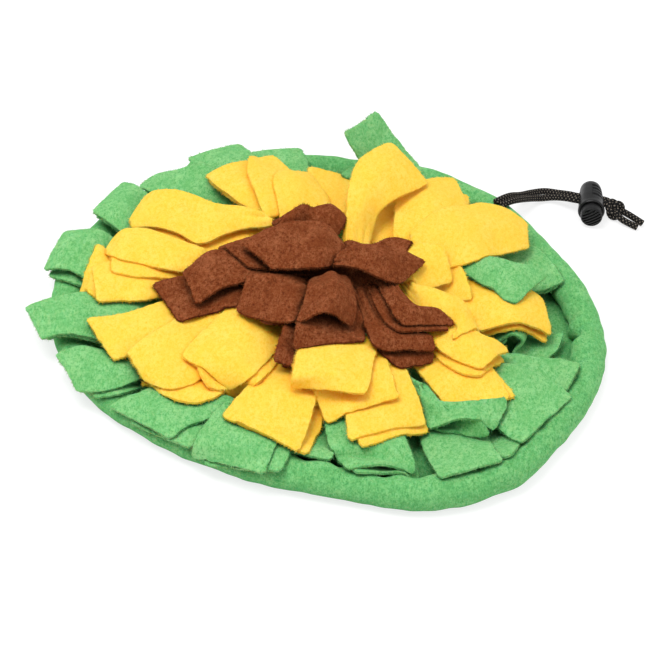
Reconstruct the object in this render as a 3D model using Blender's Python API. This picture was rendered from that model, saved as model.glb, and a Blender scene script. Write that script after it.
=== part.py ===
"""Snuffle mat: a round fleece base with a puffy drawcord hem, three rings of folded
fleece strips sewn to it, and the ends of the hem's drawcord in their spring cord lock.

Lengths are in millimetres until a mesh is made. The origin is the middle of the mat's
flat underside, +Z is up, and the cord comes out of the hem at the back right (+X +Y).
Bearings are in degrees from +X, anticlockwise.
"""

from collections import namedtuple
from math import cos, pi, radians, sin

import bmesh
import bpy
import numpy as np
from mathutils import Vector

# Driving dimensions
MM = 0.001
CLOTH = 1.6  # thickness of the fleece
FLOOR = 2.6  # thickness of the base sheet
GAP = 0.6  # air left between a strip and what it lies on
HEM_WIDTH = 21.0
HEM_HEIGHT = 14.5
HEM_HEIGHT_SWING = 3.0  # the hem is this much fuller at its fullest bearing
HEM_FULLEST = -30.0
BASE_SEGMENTS = 72
STRIP_WIDTH = 42.0
RING_RADIUS = {"green": 88.0, "yellow": 56.0, "brown": 24.0}  # where each colour is sewn
LONGEST, SHORTEST = 76.0, 36.0  # tails
ROOT_WIDTH = 0.6  # share of its width to which a strip is gathered where it is sewn
CORD = 4.4  # diameter
CORD_SPACING = 4.8  # between the two strands, side by side in the lock
CLEARANCE = 0.35  # between parts that slide or touch
LOCK_RADIUS = 8.8  # at the lock's mouth
CORDS_IN_LOCK = 13.7  # from the lock's mouth to the middle of the two strands
PRESS = 4.0  # travel of the button
SIDES = 24

# Grid of the height map on which the strips are laid
CELL = 1.0
HALF_GRID = 210.0
MARGIN_CELLS = 2
FOLD_DEPTH = 4.0  # kept clear behind a strip's root for its fold
ROWS, COLS, FOLD_STEPS = 5, 3, 3  # cells along a tail, across it, and round its fold
SETTLINGS = 5  # how often a tail is smoothed and cleared again

# The hem's outer outline: it bulges between the gathers of the drawcord.
OUTLINE = (
    # bearing, radius
    (-175, 170), (-148, 171), (-125, 164), (-105, 160), (-85, 161), (-68, 175),
    (-52, 176), (-32, 164), (-10, 165), (10, 163), (34, 160), (52, 169), (68, 173),
    (90, 166), (130, 164), (155, 166),
)

# A strip is folded at its root, so it has an upper and a lower tail. tip: middle of the
# upper tail's end. aim: its bearing there. bend: how far it has turned since the root.
# arch and roll lift its middle and its two edges, or its middle only where roll is below
# zero. skew: how much longer its left side is. puff: height of the fold. fan and short:
# how far the lower tail is turned from the upper one and how much shorter it is.
Strip = namedtuple(
    "Strip", "name tip aim length width arch roll bend skew puff fan short",
    defaults=(None, STRIP_WIDTH, 2, 0, 0, 0, 2.6, 8, 5),
)

# The strips in the order in which they lie, from the lowest to the highest
STRIPS = (
    Strip("green_01", (-10, -142, 12), -95, width=36, fan=-6),
    Strip("green_02", (62, 128, 12), 62, fan=-12),
    Strip("green_03", (-53, 149, 16), 110),
    Strip("green_04", (-111, 117, 14), 136, width=46, fan=14),
    Strip("green_05", (-141, -102, 14), -142, fan=18, short=0, roll=-3),
    Strip("green_06", (-92, 135, 20), 126, fan=-10),
    Strip("green_07", (-150, 69, 18), 152, fan=6, short=2),
    Strip("green_08", (-172, 9, 18), 174, fan=5, short=3, roll=-3),
    Strip("green_09", (-97, -131, 15), -122, fan=7, short=2),
    Strip("green_10", (-49, -148, 13), -108, width=44, fan=9, short=2),
    Strip("green_11", (-169, -70, 20), -153, length=88, width=35, fan=-10, short=12),
    Strip("green_12", (88, -125, 9), -54, fan=8),
    Strip("green_13", (33, -142, 15), -80, width=46, roll=-7, fan=6, short=2),
    Strip("green_14", (132, 70, 14), 22, width=44, fan=20, short=0),
    Strip("green_15", (127, -15, 10), -20, length=60, roll=5, bend=-30),
    Strip("green_16", (126, -79, 12), -34, width=50, fan=22, short=-4),
    Strip("green_17", (88, -100, 20), -56, roll=5, fan=6),
    Strip("yellow_01", (-16, 126, 22), 97),
    Strip("yellow_02", (-89, 107, 24), 132, fan=-16, short=-3),
    Strip("yellow_03", (-42, 112, 26), 104, fan=9, length=72),
    Strip("green_18", (-1, 147, 46), 154, length=60, width=40, bend=20),
    Strip("yellow_04", (124, 2, 22), 1, fan=10, short=4),
    Strip("green_19", (116, 26, 26), 16, length=54, width=38, roll=4),
    Strip("yellow_05", (46, 113, 30), 97, width=40, length=82, fan=-14),
    Strip("yellow_06", (112, 80, 27), 10, width=46, length=84, bend=-24, fan=-9),
    Strip("yellow_07", (-142, -25, 22), -172, width=40, fan=-8, short=-6),
    Strip("yellow_08", (-135, 11, 25), 168, width=40, roll=4),
    Strip("yellow_09", (-127, 52, 26), 165, width=46, roll=-5),
    Strip("yellow_10", (-130, -74, 20), -148, length=70),
    Strip("yellow_11", (-101, -96, 20), -138, length=62, fan=14, short=0),
    Strip("yellow_12", (-31, -135, 18), -112, width=46, length=60, fan=14, short=0),
    Strip("yellow_13", (38, -122, 18), -66, width=46, length=50, fan=6, short=-3),
    Strip("yellow_14", (90, -82, 18), -50, length=56, fan=8),
    Strip("yellow_15", (20, -108, 22), -62, width=46, length=60, fan=6),
    Strip("yellow_16", (-66, -96, 24), -121, width=44, length=52, fan=8, short=-3),
    Strip("yellow_17", (92, -52, 24), -32, length=44, fan=8, short=-3),
    Strip("yellow_18", (35, 103, 50), 38, length=84, width=40, arch=8, bend=-55, fan=12),
    Strip("brown_01", (22, -3, 20), 8, length=40),
    Strip("brown_02", (-21, -87, 24), -96, width=18, length=40),
    Strip("yellow_19", (3, -99, 28), -86, width=44, length=50),
    Strip("yellow_20", (64, 26, 31), 6, width=38, length=48, fan=-34, short=-12),
    Strip("brown_03", (-85, -34, 36), -155, length=64, width=36, fan=6, short=-12),
    Strip("brown_04", (-22, 46, 40), 104, width=46, length=36, roll=-8),
    Strip("brown_05", (44, -59, 28), -60, length=52, short=-3, fan=8),
    Strip("brown_06", (54, -36, 34), -64, length=44, bend=-30, short=-3, fan=8),
    Strip("brown_07", (-54, -35, 38), 174, width=37, length=37, roll=-3),
    Strip("brown_08", (-5, -52, 36), -90, width=38, length=40, roll=-8, short=-14),
    Strip("brown_09", (-62, -3, 40), -152, length=56, width=40, skew=-22, fan=-8, short=-4),
    Strip("brown_10", (42, 0, 42), -30, length=33, width=40, bend=-25, puff=7, fan=35, short=-12),
)

TONES = {
    # name, sRGB colour
    "green": (114, 192, 117),
    "yellow": (255, 226, 90),
    "brown": (134, 71, 36),
    "black": (24, 24, 26),
}


def clear_scene():
    for obj in list(bpy.data.objects):
        bpy.data.objects.remove(obj, do_unlink=True)


def linear(value):
    share = value / 255
    return share / 12.92 if share <= 0.04045 else ((share + 0.055) / 1.055) ** 2.4


def finish(obj, tone, roughness=0.95):
    """Gives obj a material of its own and smooth shading with sharp cut edges."""
    material = bpy.data.materials.new(obj.name)
    material.use_nodes = True
    shader = material.node_tree.nodes["Principled BSDF"]
    shader.inputs["Base Color"].default_value = (*map(linear, TONES[tone]), 1.0)
    shader.inputs["Roughness"].default_value = roughness
    shader.inputs["Metallic"].default_value = 0.0
    obj.data.materials.append(material)
    if obj.type == "MESH":
        obj.data.shade_smooth()
        obj.data.set_sharp_from_angle(angle=radians(50))


def mesh_object(name, points, faces):
    mesh = bpy.data.meshes.new(name)
    mesh.from_pydata([tuple(float(c) * MM for c in p) for p in points], [], faces)
    obj = bpy.data.objects.new(name, mesh)
    bpy.context.collection.objects.link(obj)
    return obj


# The base


def smooth_outline():
    """Radius at each whole degree from -180, without corners at the table's points."""
    bearings, radii = np.array(OUTLINE, float).T
    every_degree = np.interp(np.arange(-180, 180), bearings, radii, period=360)
    window = np.hanning(27)
    padded = np.concatenate([every_degree[-13:], every_degree, every_degree[:13]])
    return np.convolve(padded, window / window.sum(), "valid")


RADII = smooth_outline()


def hem_radius(bearing):
    return np.interp(bearing, np.arange(-180, 180), RADII, period=360)


def hem_height(bearing):
    return HEM_HEIGHT + HEM_HEIGHT_SWING * np.cos(np.radians(bearing - HEM_FULLEST))


def hem_section(bearing):
    """(radius, height) points round the base's cloth, from the underside's outer edge,
    up the outside of the hem, down to its turned-in edge and back along its inside."""
    middle = hem_radius(bearing) - HEM_WIDTH / 2
    height = hem_height(bearing)
    outside, inside = (-90, -42, 5, 50, 95, 145, 196), (190, 140, 92, 45, 0, -50)
    points = []
    for turns, skin in ((outside, 0.0), (inside, CLOTH)):
        for turn in turns:
            reach, rise = HEM_WIDTH / 2 - skin, height / 2 - skin
            points.append((middle + reach * cos(radians(turn)),
                           height / 2 + rise * sin(radians(turn))))
    points.append((middle - 1.0, FLOOR))
    return points


def build_base():
    bearings = [360 * k / BASE_SEGMENTS for k in range(BASE_SEGMENTS)]
    sections = [hem_section(b) for b in bearings]
    per = len(sections[0])
    points = [
        (r * cos(radians(b)), r * sin(radians(b)), z)
        for b, section in zip(bearings, sections)
        for r, z in section
    ]
    under, top = len(points), len(points) + 1
    points += [(0, 0, 0), (0, 0, FLOOR)]
    faces = []
    for k in range(BASE_SEGMENTS):
        here, there = k * per, (k + 1) % BASE_SEGMENTS * per
        for j in range(per - 1):
            faces.append((here + j, there + j, there + j + 1, here + j + 1))
        faces.append((under, there, here))
        faces.append((top, here + per - 1, there + per - 1))
    finish(mesh_object("base", points, faces), "green")


# The height map: the highest surface laid so far over each cell of the ground


def ground():
    steps = int(2 * HALF_GRID / CELL) + 1
    axis = np.linspace(-HALF_GRID, HALF_GRID, steps)
    x, y = np.meshgrid(axis, axis, indexing="ij")
    bearing = np.degrees(np.arctan2(y, x))
    middle = hem_radius(bearing) - HEM_WIDTH / 2
    out = (np.hypot(x, y) - middle) / (HEM_WIDTH / 2 + 1.0)
    half = hem_height(bearing) / 2
    hem = half + half * np.sqrt(np.clip(1 - out**2, 0, 1)) + CLEARANCE
    return np.where(np.abs(out) < 1, hem, np.where(out < 0, FLOOR, 0.0))


def cells(points):
    return tuple(
        np.clip(np.rint((points[..., k] + HALF_GRID) / CELL), 1, 2 * HALF_GRID / CELL - 1)
        .astype(int)
        for k in (0, 1)
    )


def widened(heights):
    """Each cell gets the highest of itself and its eight neighbours."""
    wide = heights.copy()
    for axis in (0, 1):
        wide = np.maximum(wide, np.maximum(np.roll(wide, 1, axis), np.roll(wide, -1, axis)))
    return wide


# Shares of a triangle's three corners at points spread evenly over it
STEPS = 14
WEIGHTS = np.array([
    (i, j, STEPS - i - j) for i in range(STEPS + 1) for j in range(STEPS + 1 - i)
]) / STEPS


def spread(points, triangles):
    """Points spread evenly over each triangle, one row for each."""
    return np.einsum("wk,tkc->twc", WEIGHTS, points.reshape(-1, 3)[triangles])


def commit(heights, points, triangles):
    """Adds a surface to the height map, and a margin round its edges."""
    laid = np.full_like(heights, -1.0)
    samples = spread(points, triangles)
    np.maximum.at(laid, cells(samples), samples[..., 2])
    for _ in range(MARGIN_CELLS):
        laid = np.where(laid < 0, widened(laid), laid)
    return np.maximum(heights, laid)


# The strips


def net_triangles(rows, cols):
    """Two triangles for each cell of a net of (rows + 1) x (cols + 1) points."""
    found = []
    for i in range(rows):
        for j in range(cols):
            a = i * (cols + 1) + j
            b, c, d = a + 1, a + cols + 2, a + cols + 1
            found += [(a, c, b), (a, d, c)] if (i + j) % 2 else [(a, d, b), (b, d, c)]
    return np.array(found)


TAIL = net_triangles(ROWS, COLS)
FOLD = net_triangles(FOLD_STEPS, COLS)


def tail_plan(root, aim, bend, length, width, roll=0.0, skew=0.0):
    """Plan of a tail: points from its root to its tip, and from its right to its left.
    A rolled tail is narrower: a shallow arc of rise h over a span s is s + 8/3 h^2/s long."""
    share = np.linspace(0, 1, ROWS + 1)
    turned = np.radians(aim - bend + bend * share)
    ahead = np.stack([np.cos(turned), np.sin(turned)], 1)
    path = np.cumsum((ahead[:-1] + ahead[1:]) / 2, axis=0) * length / ROWS
    path = np.array(root) + np.vstack([(0, 0), path])
    left = np.stack([-np.sin(turned), np.cos(turned)], 1)
    wide = width * (ROOT_WIDTH + (1 - ROOT_WIDTH) * np.minimum(1, 2.2 * share))
    wide = (wide + np.sqrt(np.maximum(wide**2 - 32 / 3 * (roll * share) ** 2, 0))) / 2
    side = np.linspace(-0.5, 0.5, COLS + 1)
    net = path[:, None] + (left * wide[:, None])[:, None] * side[:, None]
    return net + skew * (ahead * share[:, None])[:, None] * side[:, None]


def normals(net):
    along = np.gradient(net, axis=0)
    across = np.gradient(net, axis=1)
    normal = np.cross(along, across)
    return normal / np.linalg.norm(normal, axis=2, keepdims=True)


def soften(z):
    """Each height moves half way to the mean of those round it."""
    wide = np.pad(z, 1, mode="edge")
    around = (wide[:-2, 1:-1] + wide[2:, 1:-1] + wide[1:-1, :-2] + wide[1:-1, 2:]) / 4
    return (z + around) / 2


def cleared(plan, z, heights):
    """z, raised where the tail's underside comes nearer than GAP to what lies below."""
    for _ in range(60):
        net = np.dstack([plan, z])
        samples = spread(net - normals(net) * CLOTH / 2, TAIL)
        short = heights[cells(samples)] + GAP - samples[..., 2]
        worst = short.argmax(axis=1)
        most = short.max(axis=1)
        if most.max() <= 0:
            break
        push = WEIGHTS[worst] / (WEIGHTS[worst] ** 2).sum(1, keepdims=True)
        raised = np.zeros(z.size)
        np.maximum.at(raised, TAIL, push * np.maximum(most, 0)[:, None])
        z = z + raised.reshape(z.shape)
    return z


def lay(plan, heights, lift, tip, least):
    """Heights for a tail's net: it lies on what is beneath, with its own lift, and no
    part of its underside is nearer than GAP. least: floor for the root's height."""
    support = heights[cells(plan)] + GAP + CLOTH / 2
    support[0] = np.maximum(support[0].max(), least)
    share = np.linspace(0, 1, ROWS + 1)[:, None]
    lift = lift + max(0.0, tip - support[-1].mean()) * share**2
    z = support.copy()
    for _ in range(SETTLINGS):
        z = soften(z)
        z[0] = np.maximum(z[0].max(), least)
        z = cleared(plan, z + lift, heights) - lift
    return np.dstack([plan, z + lift])


def lift_of(strip):
    """The upper tail's own rise above what it lies on: its arch and its rolled edges."""
    share = np.linspace(0, 1, ROWS + 1)[:, None]
    side = np.linspace(-1, 1, COLS + 1)[None, :]
    edge = side**2 if strip.roll > 0 else 1 - side**2
    return strip.arch * np.sin(pi * share) + abs(strip.roll) * share * edge


def strip_net(strip, heights):
    """Points from a strip's lower tip, round its fold to its upper tip, and the height
    map with the strip laid on it."""
    ring = RING_RADIUS[strip.name.split("_")[0]]
    length = strip.length or min(LONGEST, max(SHORTEST, np.hypot(*strip.tip[:2]) - ring))
    shape = (strip.bend, length, strip.width, strip.roll, strip.skew)
    upper = tail_plan((0, 0), strip.aim, *shape)
    upper += np.array(strip.tip[:2]) - upper[-1].mean(axis=0)
    root = upper[0].mean(axis=0)
    lower = tail_plan(root, strip.aim + strip.fan, strip.bend, length - strip.short, strip.width)
    back = radians(strip.aim - strip.bend + strip.fan / 2 + 180)
    back = np.array([cos(back), sin(back), 0])
    behind = np.concatenate([lower[:1], upper[:1]])[:, :, None]
    behind = behind + back[:2] * np.linspace(-1, FOLD_DEPTH, 6)[:, None]
    least = heights[cells(behind)].max() + GAP + CLOTH / 2
    lower = lay(lower, heights, 0.0, 0.0, least)
    heights = commit(heights, lower + normals(lower) * CLOTH / 2, TAIL)
    upper = lay(upper, heights, lift_of(strip), strip.tip[2], lower[0, 0, 2] + strip.puff)
    heights = commit(heights, upper + normals(upper) * CLOTH / 2, TAIL)
    half = (upper[0] - lower[0]) / 2
    fold = [
        (upper[0] + lower[0]) / 2 - half * cos(turn) + back * half[:, 2:] * sin(turn)
        for turn in (pi * k / FOLD_STEPS for k in range(1, FOLD_STEPS))
    ]
    net = np.concatenate([lower[::-1], fold, upper])
    turned = slice(ROWS, ROWS + FOLD_STEPS + 1)
    heights = commit(heights, (net + normals(net) * CLOTH / 2)[turned], FOLD)
    return net, heights


def build_strip(strip, heights):
    net, heights = strip_net(strip, heights)
    normal = normals(net)
    rows, cols = net.shape[0] - 1, COLS
    faces_up = net_triangles(rows, cols)
    count = (rows + 1) * (cols + 1)
    points = np.concatenate([(net + normal * CLOTH / 2).reshape(-1, 3),
                             (net - normal * CLOTH / 2).reshape(-1, 3)])
    rim = [(i, 0) for i in range(rows)] + [(rows, j) for j in range(cols)]
    rim += [(i, cols) for i in range(rows, 0, -1)] + [(0, j) for j in range(cols, 0, -1)]
    loop = [i * (cols + 1) + j for i, j in rim]
    faces = [tuple(t) for t in faces_up.tolist()]
    faces += [tuple(count + v for v in reversed(t)) for t in faces_up.tolist()]
    for a, b in zip(loop, loop[1:] + loop[:1]):
        faces += [(b, a, a + count), (b, a + count, b + count)]
    obj = mesh_object(strip.name, points, faces)
    finish(obj, strip.name.split("_")[0])
    return heights


def build_strips():
    heights = ground()
    for strip in STRIPS:
        heights = build_strip(strip, heights)


# The drawcord and its lock

LOCK_MIDDLE = (158, 155.2, LOCK_RADIUS * cos(pi / SIDES))  # where the two strands cross it
KNOT = (174, 151, 6.9)
KNOT_RADII = (6.2, 7.0, 6.2)
LOCK_PROFILE = (
    # radius, distance from the mouth: up the stepped bore and down the outside
    (6.0, 24.3), (6.0, 5.0), (7.5, 5.0), (7.5, 0.0),
    (LOCK_RADIUS, 0.0), (8.6, 7.0), (7.9, 18.0), (7.2, 24.5), (5.6, 28.0),
)
BUTTON_PROFILE = (
    # radius, distance from the lock's mouth: the domed head and the stem
    (4.6, -8.0), (6.6, -7.4), (7.15, -6.0), (7.15, 0.5), (5.65, 0.5), (5.65, 19.8),
)
STRANDS = {
    # points on each strand between the hem and the knot
    "strand_a": ((93.5, 124.6, 17.6), (99, 131.2, 17.2), (104, 138.5, 14.7), (111, 150, 8.5),
                 (119, 161, 4.2), (128, 167.5, 2.5), (137, 165.8, 3.8), (144, 160, 7.6),
                 (149, 157.6, 8.7), (167.2, 157.5, 8.7)),
    "strand_b": ((97, 121.3, 17.8), (104, 129, 17), (111, 138, 12.4), (119, 147.5, 6.5),
                 (127, 153.5, 3), (135, 154.4, 4.4), (142, 153.3, 7.6), (148, 152.8, 8.7),
                 (167.2, 152.8, 8.7)),
}
TAILS = {
    "tail_a": ((181.7, 150.4, 5.4), (186.8, 148.2, 4.2), (193.3, 144.6, 2.8)),
    "tail_b": ((178.8, 144.7, 4.2), (183.4, 142.6, 3.1), (189.6, 139.8, 2.4)),
}


def smooth_route(points, spacing=9.0):
    """Points about spacing apart on a smooth curve through the given ones."""
    given = np.array(points, float)
    ends = np.vstack([2 * given[0] - given[1], given, 2 * given[-1] - given[-2]])
    route = []
    for p, a, b, n in zip(ends, ends[1:], ends[2:], ends[3:]):
        parts = max(1, round(np.linalg.norm(b - a) / spacing))
        for k in range(parts):
            t = k / parts
            route.append(
                a + (b - p) / 2 * t + (2 * p - 5 * a + 4 * b - n) / 2 * t**2
                + (3 * a - p - 3 * b + n) / 2 * t**3
            )
    return route + [given[-1]]


def build_cord(name, points):
    curve = bpy.data.curves.new(name, "CURVE")
    curve.dimensions = "3D"
    curve.bevel_depth = CORD / 2 * MM
    curve.bevel_resolution = 2
    curve.use_fill_caps = True
    route = smooth_route(points)
    spline = curve.splines.new("POLY")
    spline.points.add(len(route) - 1)
    for point, place in zip(spline.points, route):
        point.co = (*(place * MM), 1)
    obj = bpy.data.objects.new(name, curve)
    bpy.context.collection.objects.link(obj)
    finish(obj, "black", 0.7)


def turned(name, profile, place):
    """A turned piece about +Y from (radius, distance) points; place is its origin."""
    points, faces = [], []
    per = len(profile)
    for k in range(SIDES):
        turn = 2 * pi * (k + 0.5) / SIDES
        points += [(r * cos(turn), y, r * sin(turn)) for r, y in profile]
        here, there = k * per, (k + 1) % SIDES * per
        faces += [(here + j, here + j + 1, there + j + 1, there + j) for j in range(per - 1)]
    faces.append([k * per for k in range(SIDES)])
    faces.append([k * per + per - 1 for k in reversed(range(SIDES))])
    obj = mesh_object(name, points, faces)
    obj.location = Vector(place) * MM
    return obj


def box(name, low, high):
    """A cutter."""
    corners = [(x, y, z) for x in (low[0], high[0]) for y in (low[1], high[1])
               for z in (low[2], high[2])]
    faces = [(0, 1, 3, 2), (4, 6, 7, 5), (0, 4, 5, 1), (2, 3, 7, 6), (0, 2, 6, 4), (1, 5, 7, 3)]
    obj = mesh_object(name, corners, faces)
    obj.hide_render = True
    obj.display_type = "WIRE"
    return obj


def cut(obj, cutter):
    modifier = obj.modifiers.new(cutter.name, "BOOLEAN")
    modifier.operation = "DIFFERENCE"
    modifier.object = cutter
    cutter.parent = obj


def build_lock():
    mouth = (LOCK_MIDDLE[0], LOCK_MIDDLE[1] - CORDS_IN_LOCK, LOCK_MIDDLE[2])
    cords = CORD_SPACING / 2 + CORD / 2 + CLEARANCE
    half = CORD / 2 + CLEARANCE
    first, last = CORDS_IN_LOCK - cords, CORDS_IN_LOCK + cords
    body = turned("lock_body", LOCK_PROFILE, mouth)
    cut(body, box("lock_slot", (-12, first, -half), (12, last, half)))
    finish(body, "black", 0.45)
    button = turned("lock_button", BUTTON_PROFILE, mouth)
    cut(button, box("button_slot", (-12, first - PRESS, -half), (12, last, half)))
    finish(button, "black", 0.45)


def build_knot():
    """The overhand knot in the two strands, as its outer shape with three turns."""
    mesh = bpy.data.meshes.new("knot")
    obj = bpy.data.objects.new("knot", mesh)
    bpy.context.collection.objects.link(obj)
    shape = bmesh.new()
    bmesh.ops.create_uvsphere(shape, u_segments=18, v_segments=10, radius=1)
    for vert in shape.verts:
        x, y, z = vert.co
        turns = 1 + 0.07 * cos(3 * pi * x + 2 * y)
        vert.co = Vector((x, y * turns, z * turns)) * Vector(KNOT_RADII) * MM
    shape.to_mesh(mesh)
    shape.free()
    obj.location = Vector(KNOT) * MM
    finish(obj, "black", 0.7)


clear_scene()
build_base()
build_strips()
build_lock()
build_knot()
for cord_name, cord_points in {**STRANDS, **TAILS}.items():
    build_cord(cord_name, cord_points)
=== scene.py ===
"""Looks of the snuffle mat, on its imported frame: a fleece base with a puffy drawcord hem,
three rings of folded fleece strips, and the drawcord's ends in their spring cord lock.

Lengths are in millimetres until a mesh is made. The frame is the CAD's: the origin is
the middle of the mat's flat underside, +Z is up, and the cord comes out of the hem at the
back right (+X +Y). Bearings are in degrees from +X, anticlockwise.
"""

from collections import namedtuple
from math import cos, pi, radians, sin, tau

import bpy
import numpy as np
from mathutils import Matrix, Vector, noise


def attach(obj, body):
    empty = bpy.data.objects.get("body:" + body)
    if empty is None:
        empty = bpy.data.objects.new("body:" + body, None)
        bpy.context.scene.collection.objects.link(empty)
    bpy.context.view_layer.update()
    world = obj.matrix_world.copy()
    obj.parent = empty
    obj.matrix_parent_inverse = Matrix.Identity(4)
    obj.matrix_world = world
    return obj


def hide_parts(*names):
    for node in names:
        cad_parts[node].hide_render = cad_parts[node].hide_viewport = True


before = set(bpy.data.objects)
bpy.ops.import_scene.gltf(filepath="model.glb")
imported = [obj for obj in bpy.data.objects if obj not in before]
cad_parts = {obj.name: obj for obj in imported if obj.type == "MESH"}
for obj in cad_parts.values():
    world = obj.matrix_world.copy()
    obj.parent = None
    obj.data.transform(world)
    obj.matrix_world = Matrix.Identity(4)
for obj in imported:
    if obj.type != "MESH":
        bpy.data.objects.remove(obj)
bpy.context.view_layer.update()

# Driving dimensions
MM = 0.001
CLOTH = 1.6  # thickness of the fleece
FLOOR = 2.6  # thickness of the base sheet
GAP = 0.6  # air left between a strip's plain net and what it lies on
HEM_WIDTH = 21.0
HEM_HEIGHT = 14.5
HEM_HEIGHT_SWING = 3.0  # the hem is this much fuller at its fullest bearing
HEM_FULLEST = -30.0
STRIP_WIDTH = 42.0
RING_RADIUS = {"green": 88.0, "yellow": 56.0, "brown": 24.0}  # where each colour is sewn
LONGEST, SHORTEST = 76.0, 36.0  # tails
ROOT_WIDTH = 0.6  # share of its width to which a strip is gathered where it is sewn
ROOT_SPREAD = 2.2  # it has its full width again after 1 / 2.2 of its tail
CORD = 4.4  # diameter
CORD_SPACING = 4.8  # between the two strands, side by side in the lock
CLEARANCE = 0.35  # between parts that slide or touch
LOCK_RADIUS = 8.8  # at the lock's mouth
CORDS_IN_LOCK = 13.7  # from the lock's mouth to the middle of the two strands
PRESS = 4.0  # travel of the button

# Grid of the height map on which the strips are laid
CELL = 1.0
HALF_GRID = 210.0
MARGIN_CELLS = 2
FOLD_DEPTH = 4.0  # kept clear behind a strip's root for its fold
ROWS, COLS, FOLD_STEPS = 5, 3, 3  # cells along a tail, across it, and round its fold
SETTLINGS = 5  # how often a tail is smoothed and cleared again
CLEARINGS = 60  # at most so many raises each time

# The fine net that is drawn through a strip's plain one
FINE = 7  # fine cells in one plain cell, along a tail and across it
FINE_FOLD = 3  # the same round its fold
FINE_GAP = 0.25  # air below a strip's fine net
LIFTINGS, LIFT_SPREAD = 6, 30  # raises of a fine tail, and how often each is softened
DEEPEST_CUT = 0.02  # into what is below, where raising it ends
SEATINGS = 5  # how often an edge is moved along the camera's ray until it lies free
DENSE = 24  # steps between two rows of a curve before it is spaced evenly

# A fine tail's creases: waves at its root, slack waves as (rise, size across, step of the
# seed), one soft crease, and corners that turn up or down. Pairs are ranges.
DRAPED_CREASES = 0.4  # share of them on a tail whose folds are listed
PLEATS, PLEAT_RISE, PLEAT_REACH = (2, 4), 1.3, 15.0
SLACK = ((1.5, 30.0, 1.7), (0.5, 12.0, 2.3))
SLACK_FROM = (4, 26)  # where they start, from the root
CREASE_PLACE, CREASE_LEAN = (0.3, 0.8), (-0.5, 0.5)  # place as a share of the length
CREASE_RISE, CREASE_WIDTH = (-1.1, 0.9), (3.5, 6.0)
CORNER_TURN, CORNER_REACH = (-0.8, 2.6), 15.0

# Cut edges and nap
CORNER = 1.0  # radius to which a strip's cut corners are rounded
RAGGED, RAGGED_SIZES = 0.55, (7.0, 2.2)  # how uneven the cuts are, and over what lengths
EDGE_STEEP = 0.62  # share of the cloth's thickness that is left where its edge turns over
CUT_SHARP = 58  # degrees between faces that meet in a sharp edge
NAP = 0.25  # how far the brushed nap stands out from the cloth
NAP_GRAIN = (1.0, 0.62, 0.85)  # the nap is brushed along Y, so its marks are longer there
FIBRES = 3.6  # loose tufts of fibre on each millimetre of a cut edge
FIBRE_LENGTH, FIBRE_RADIUS = (0.5, 1.9), (0.08, 0.26)
FIBRE_SPREAD = 0.5  # how far they stray from straight out
FIBRE_ROOT = 0.3  # how deep in the edge they start
FIBRE_SIDE = (0.3, 0.5, 0.8)  # none stands this way, so their sides are turned from it

# The hem's outer outline: it bulges between the gathers of the drawcord.
OUTLINE = (
    # bearing, radius
    (-175, 170), (-148, 171), (-125, 164), (-105, 160), (-85, 161), (-68, 175),
    (-52, 176), (-32, 164), (-10, 165), (10, 163), (34, 160), (52, 169), (68, 173),
    (90, 166), (130, 164), (155, 166),
)

# A strip is folded at its root, so it has an upper and a lower tail. tip: middle of the
# upper tail's end. aim: its bearing there. bend: how far it has turned since the root.
# arch and roll lift its middle and its two edges, or its middle only where roll is below
# zero. skew: how much longer its left side is. puff: height of the fold. fan and short:
# how far the lower tail is turned from the upper one and how much shorter it is.
Strip = namedtuple(
    "Strip", "name tip aim length width arch roll bend skew puff fan short",
    defaults=(None, STRIP_WIDTH, 2, 0, 0, 0, 2.6, 8, 5),
)

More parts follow.
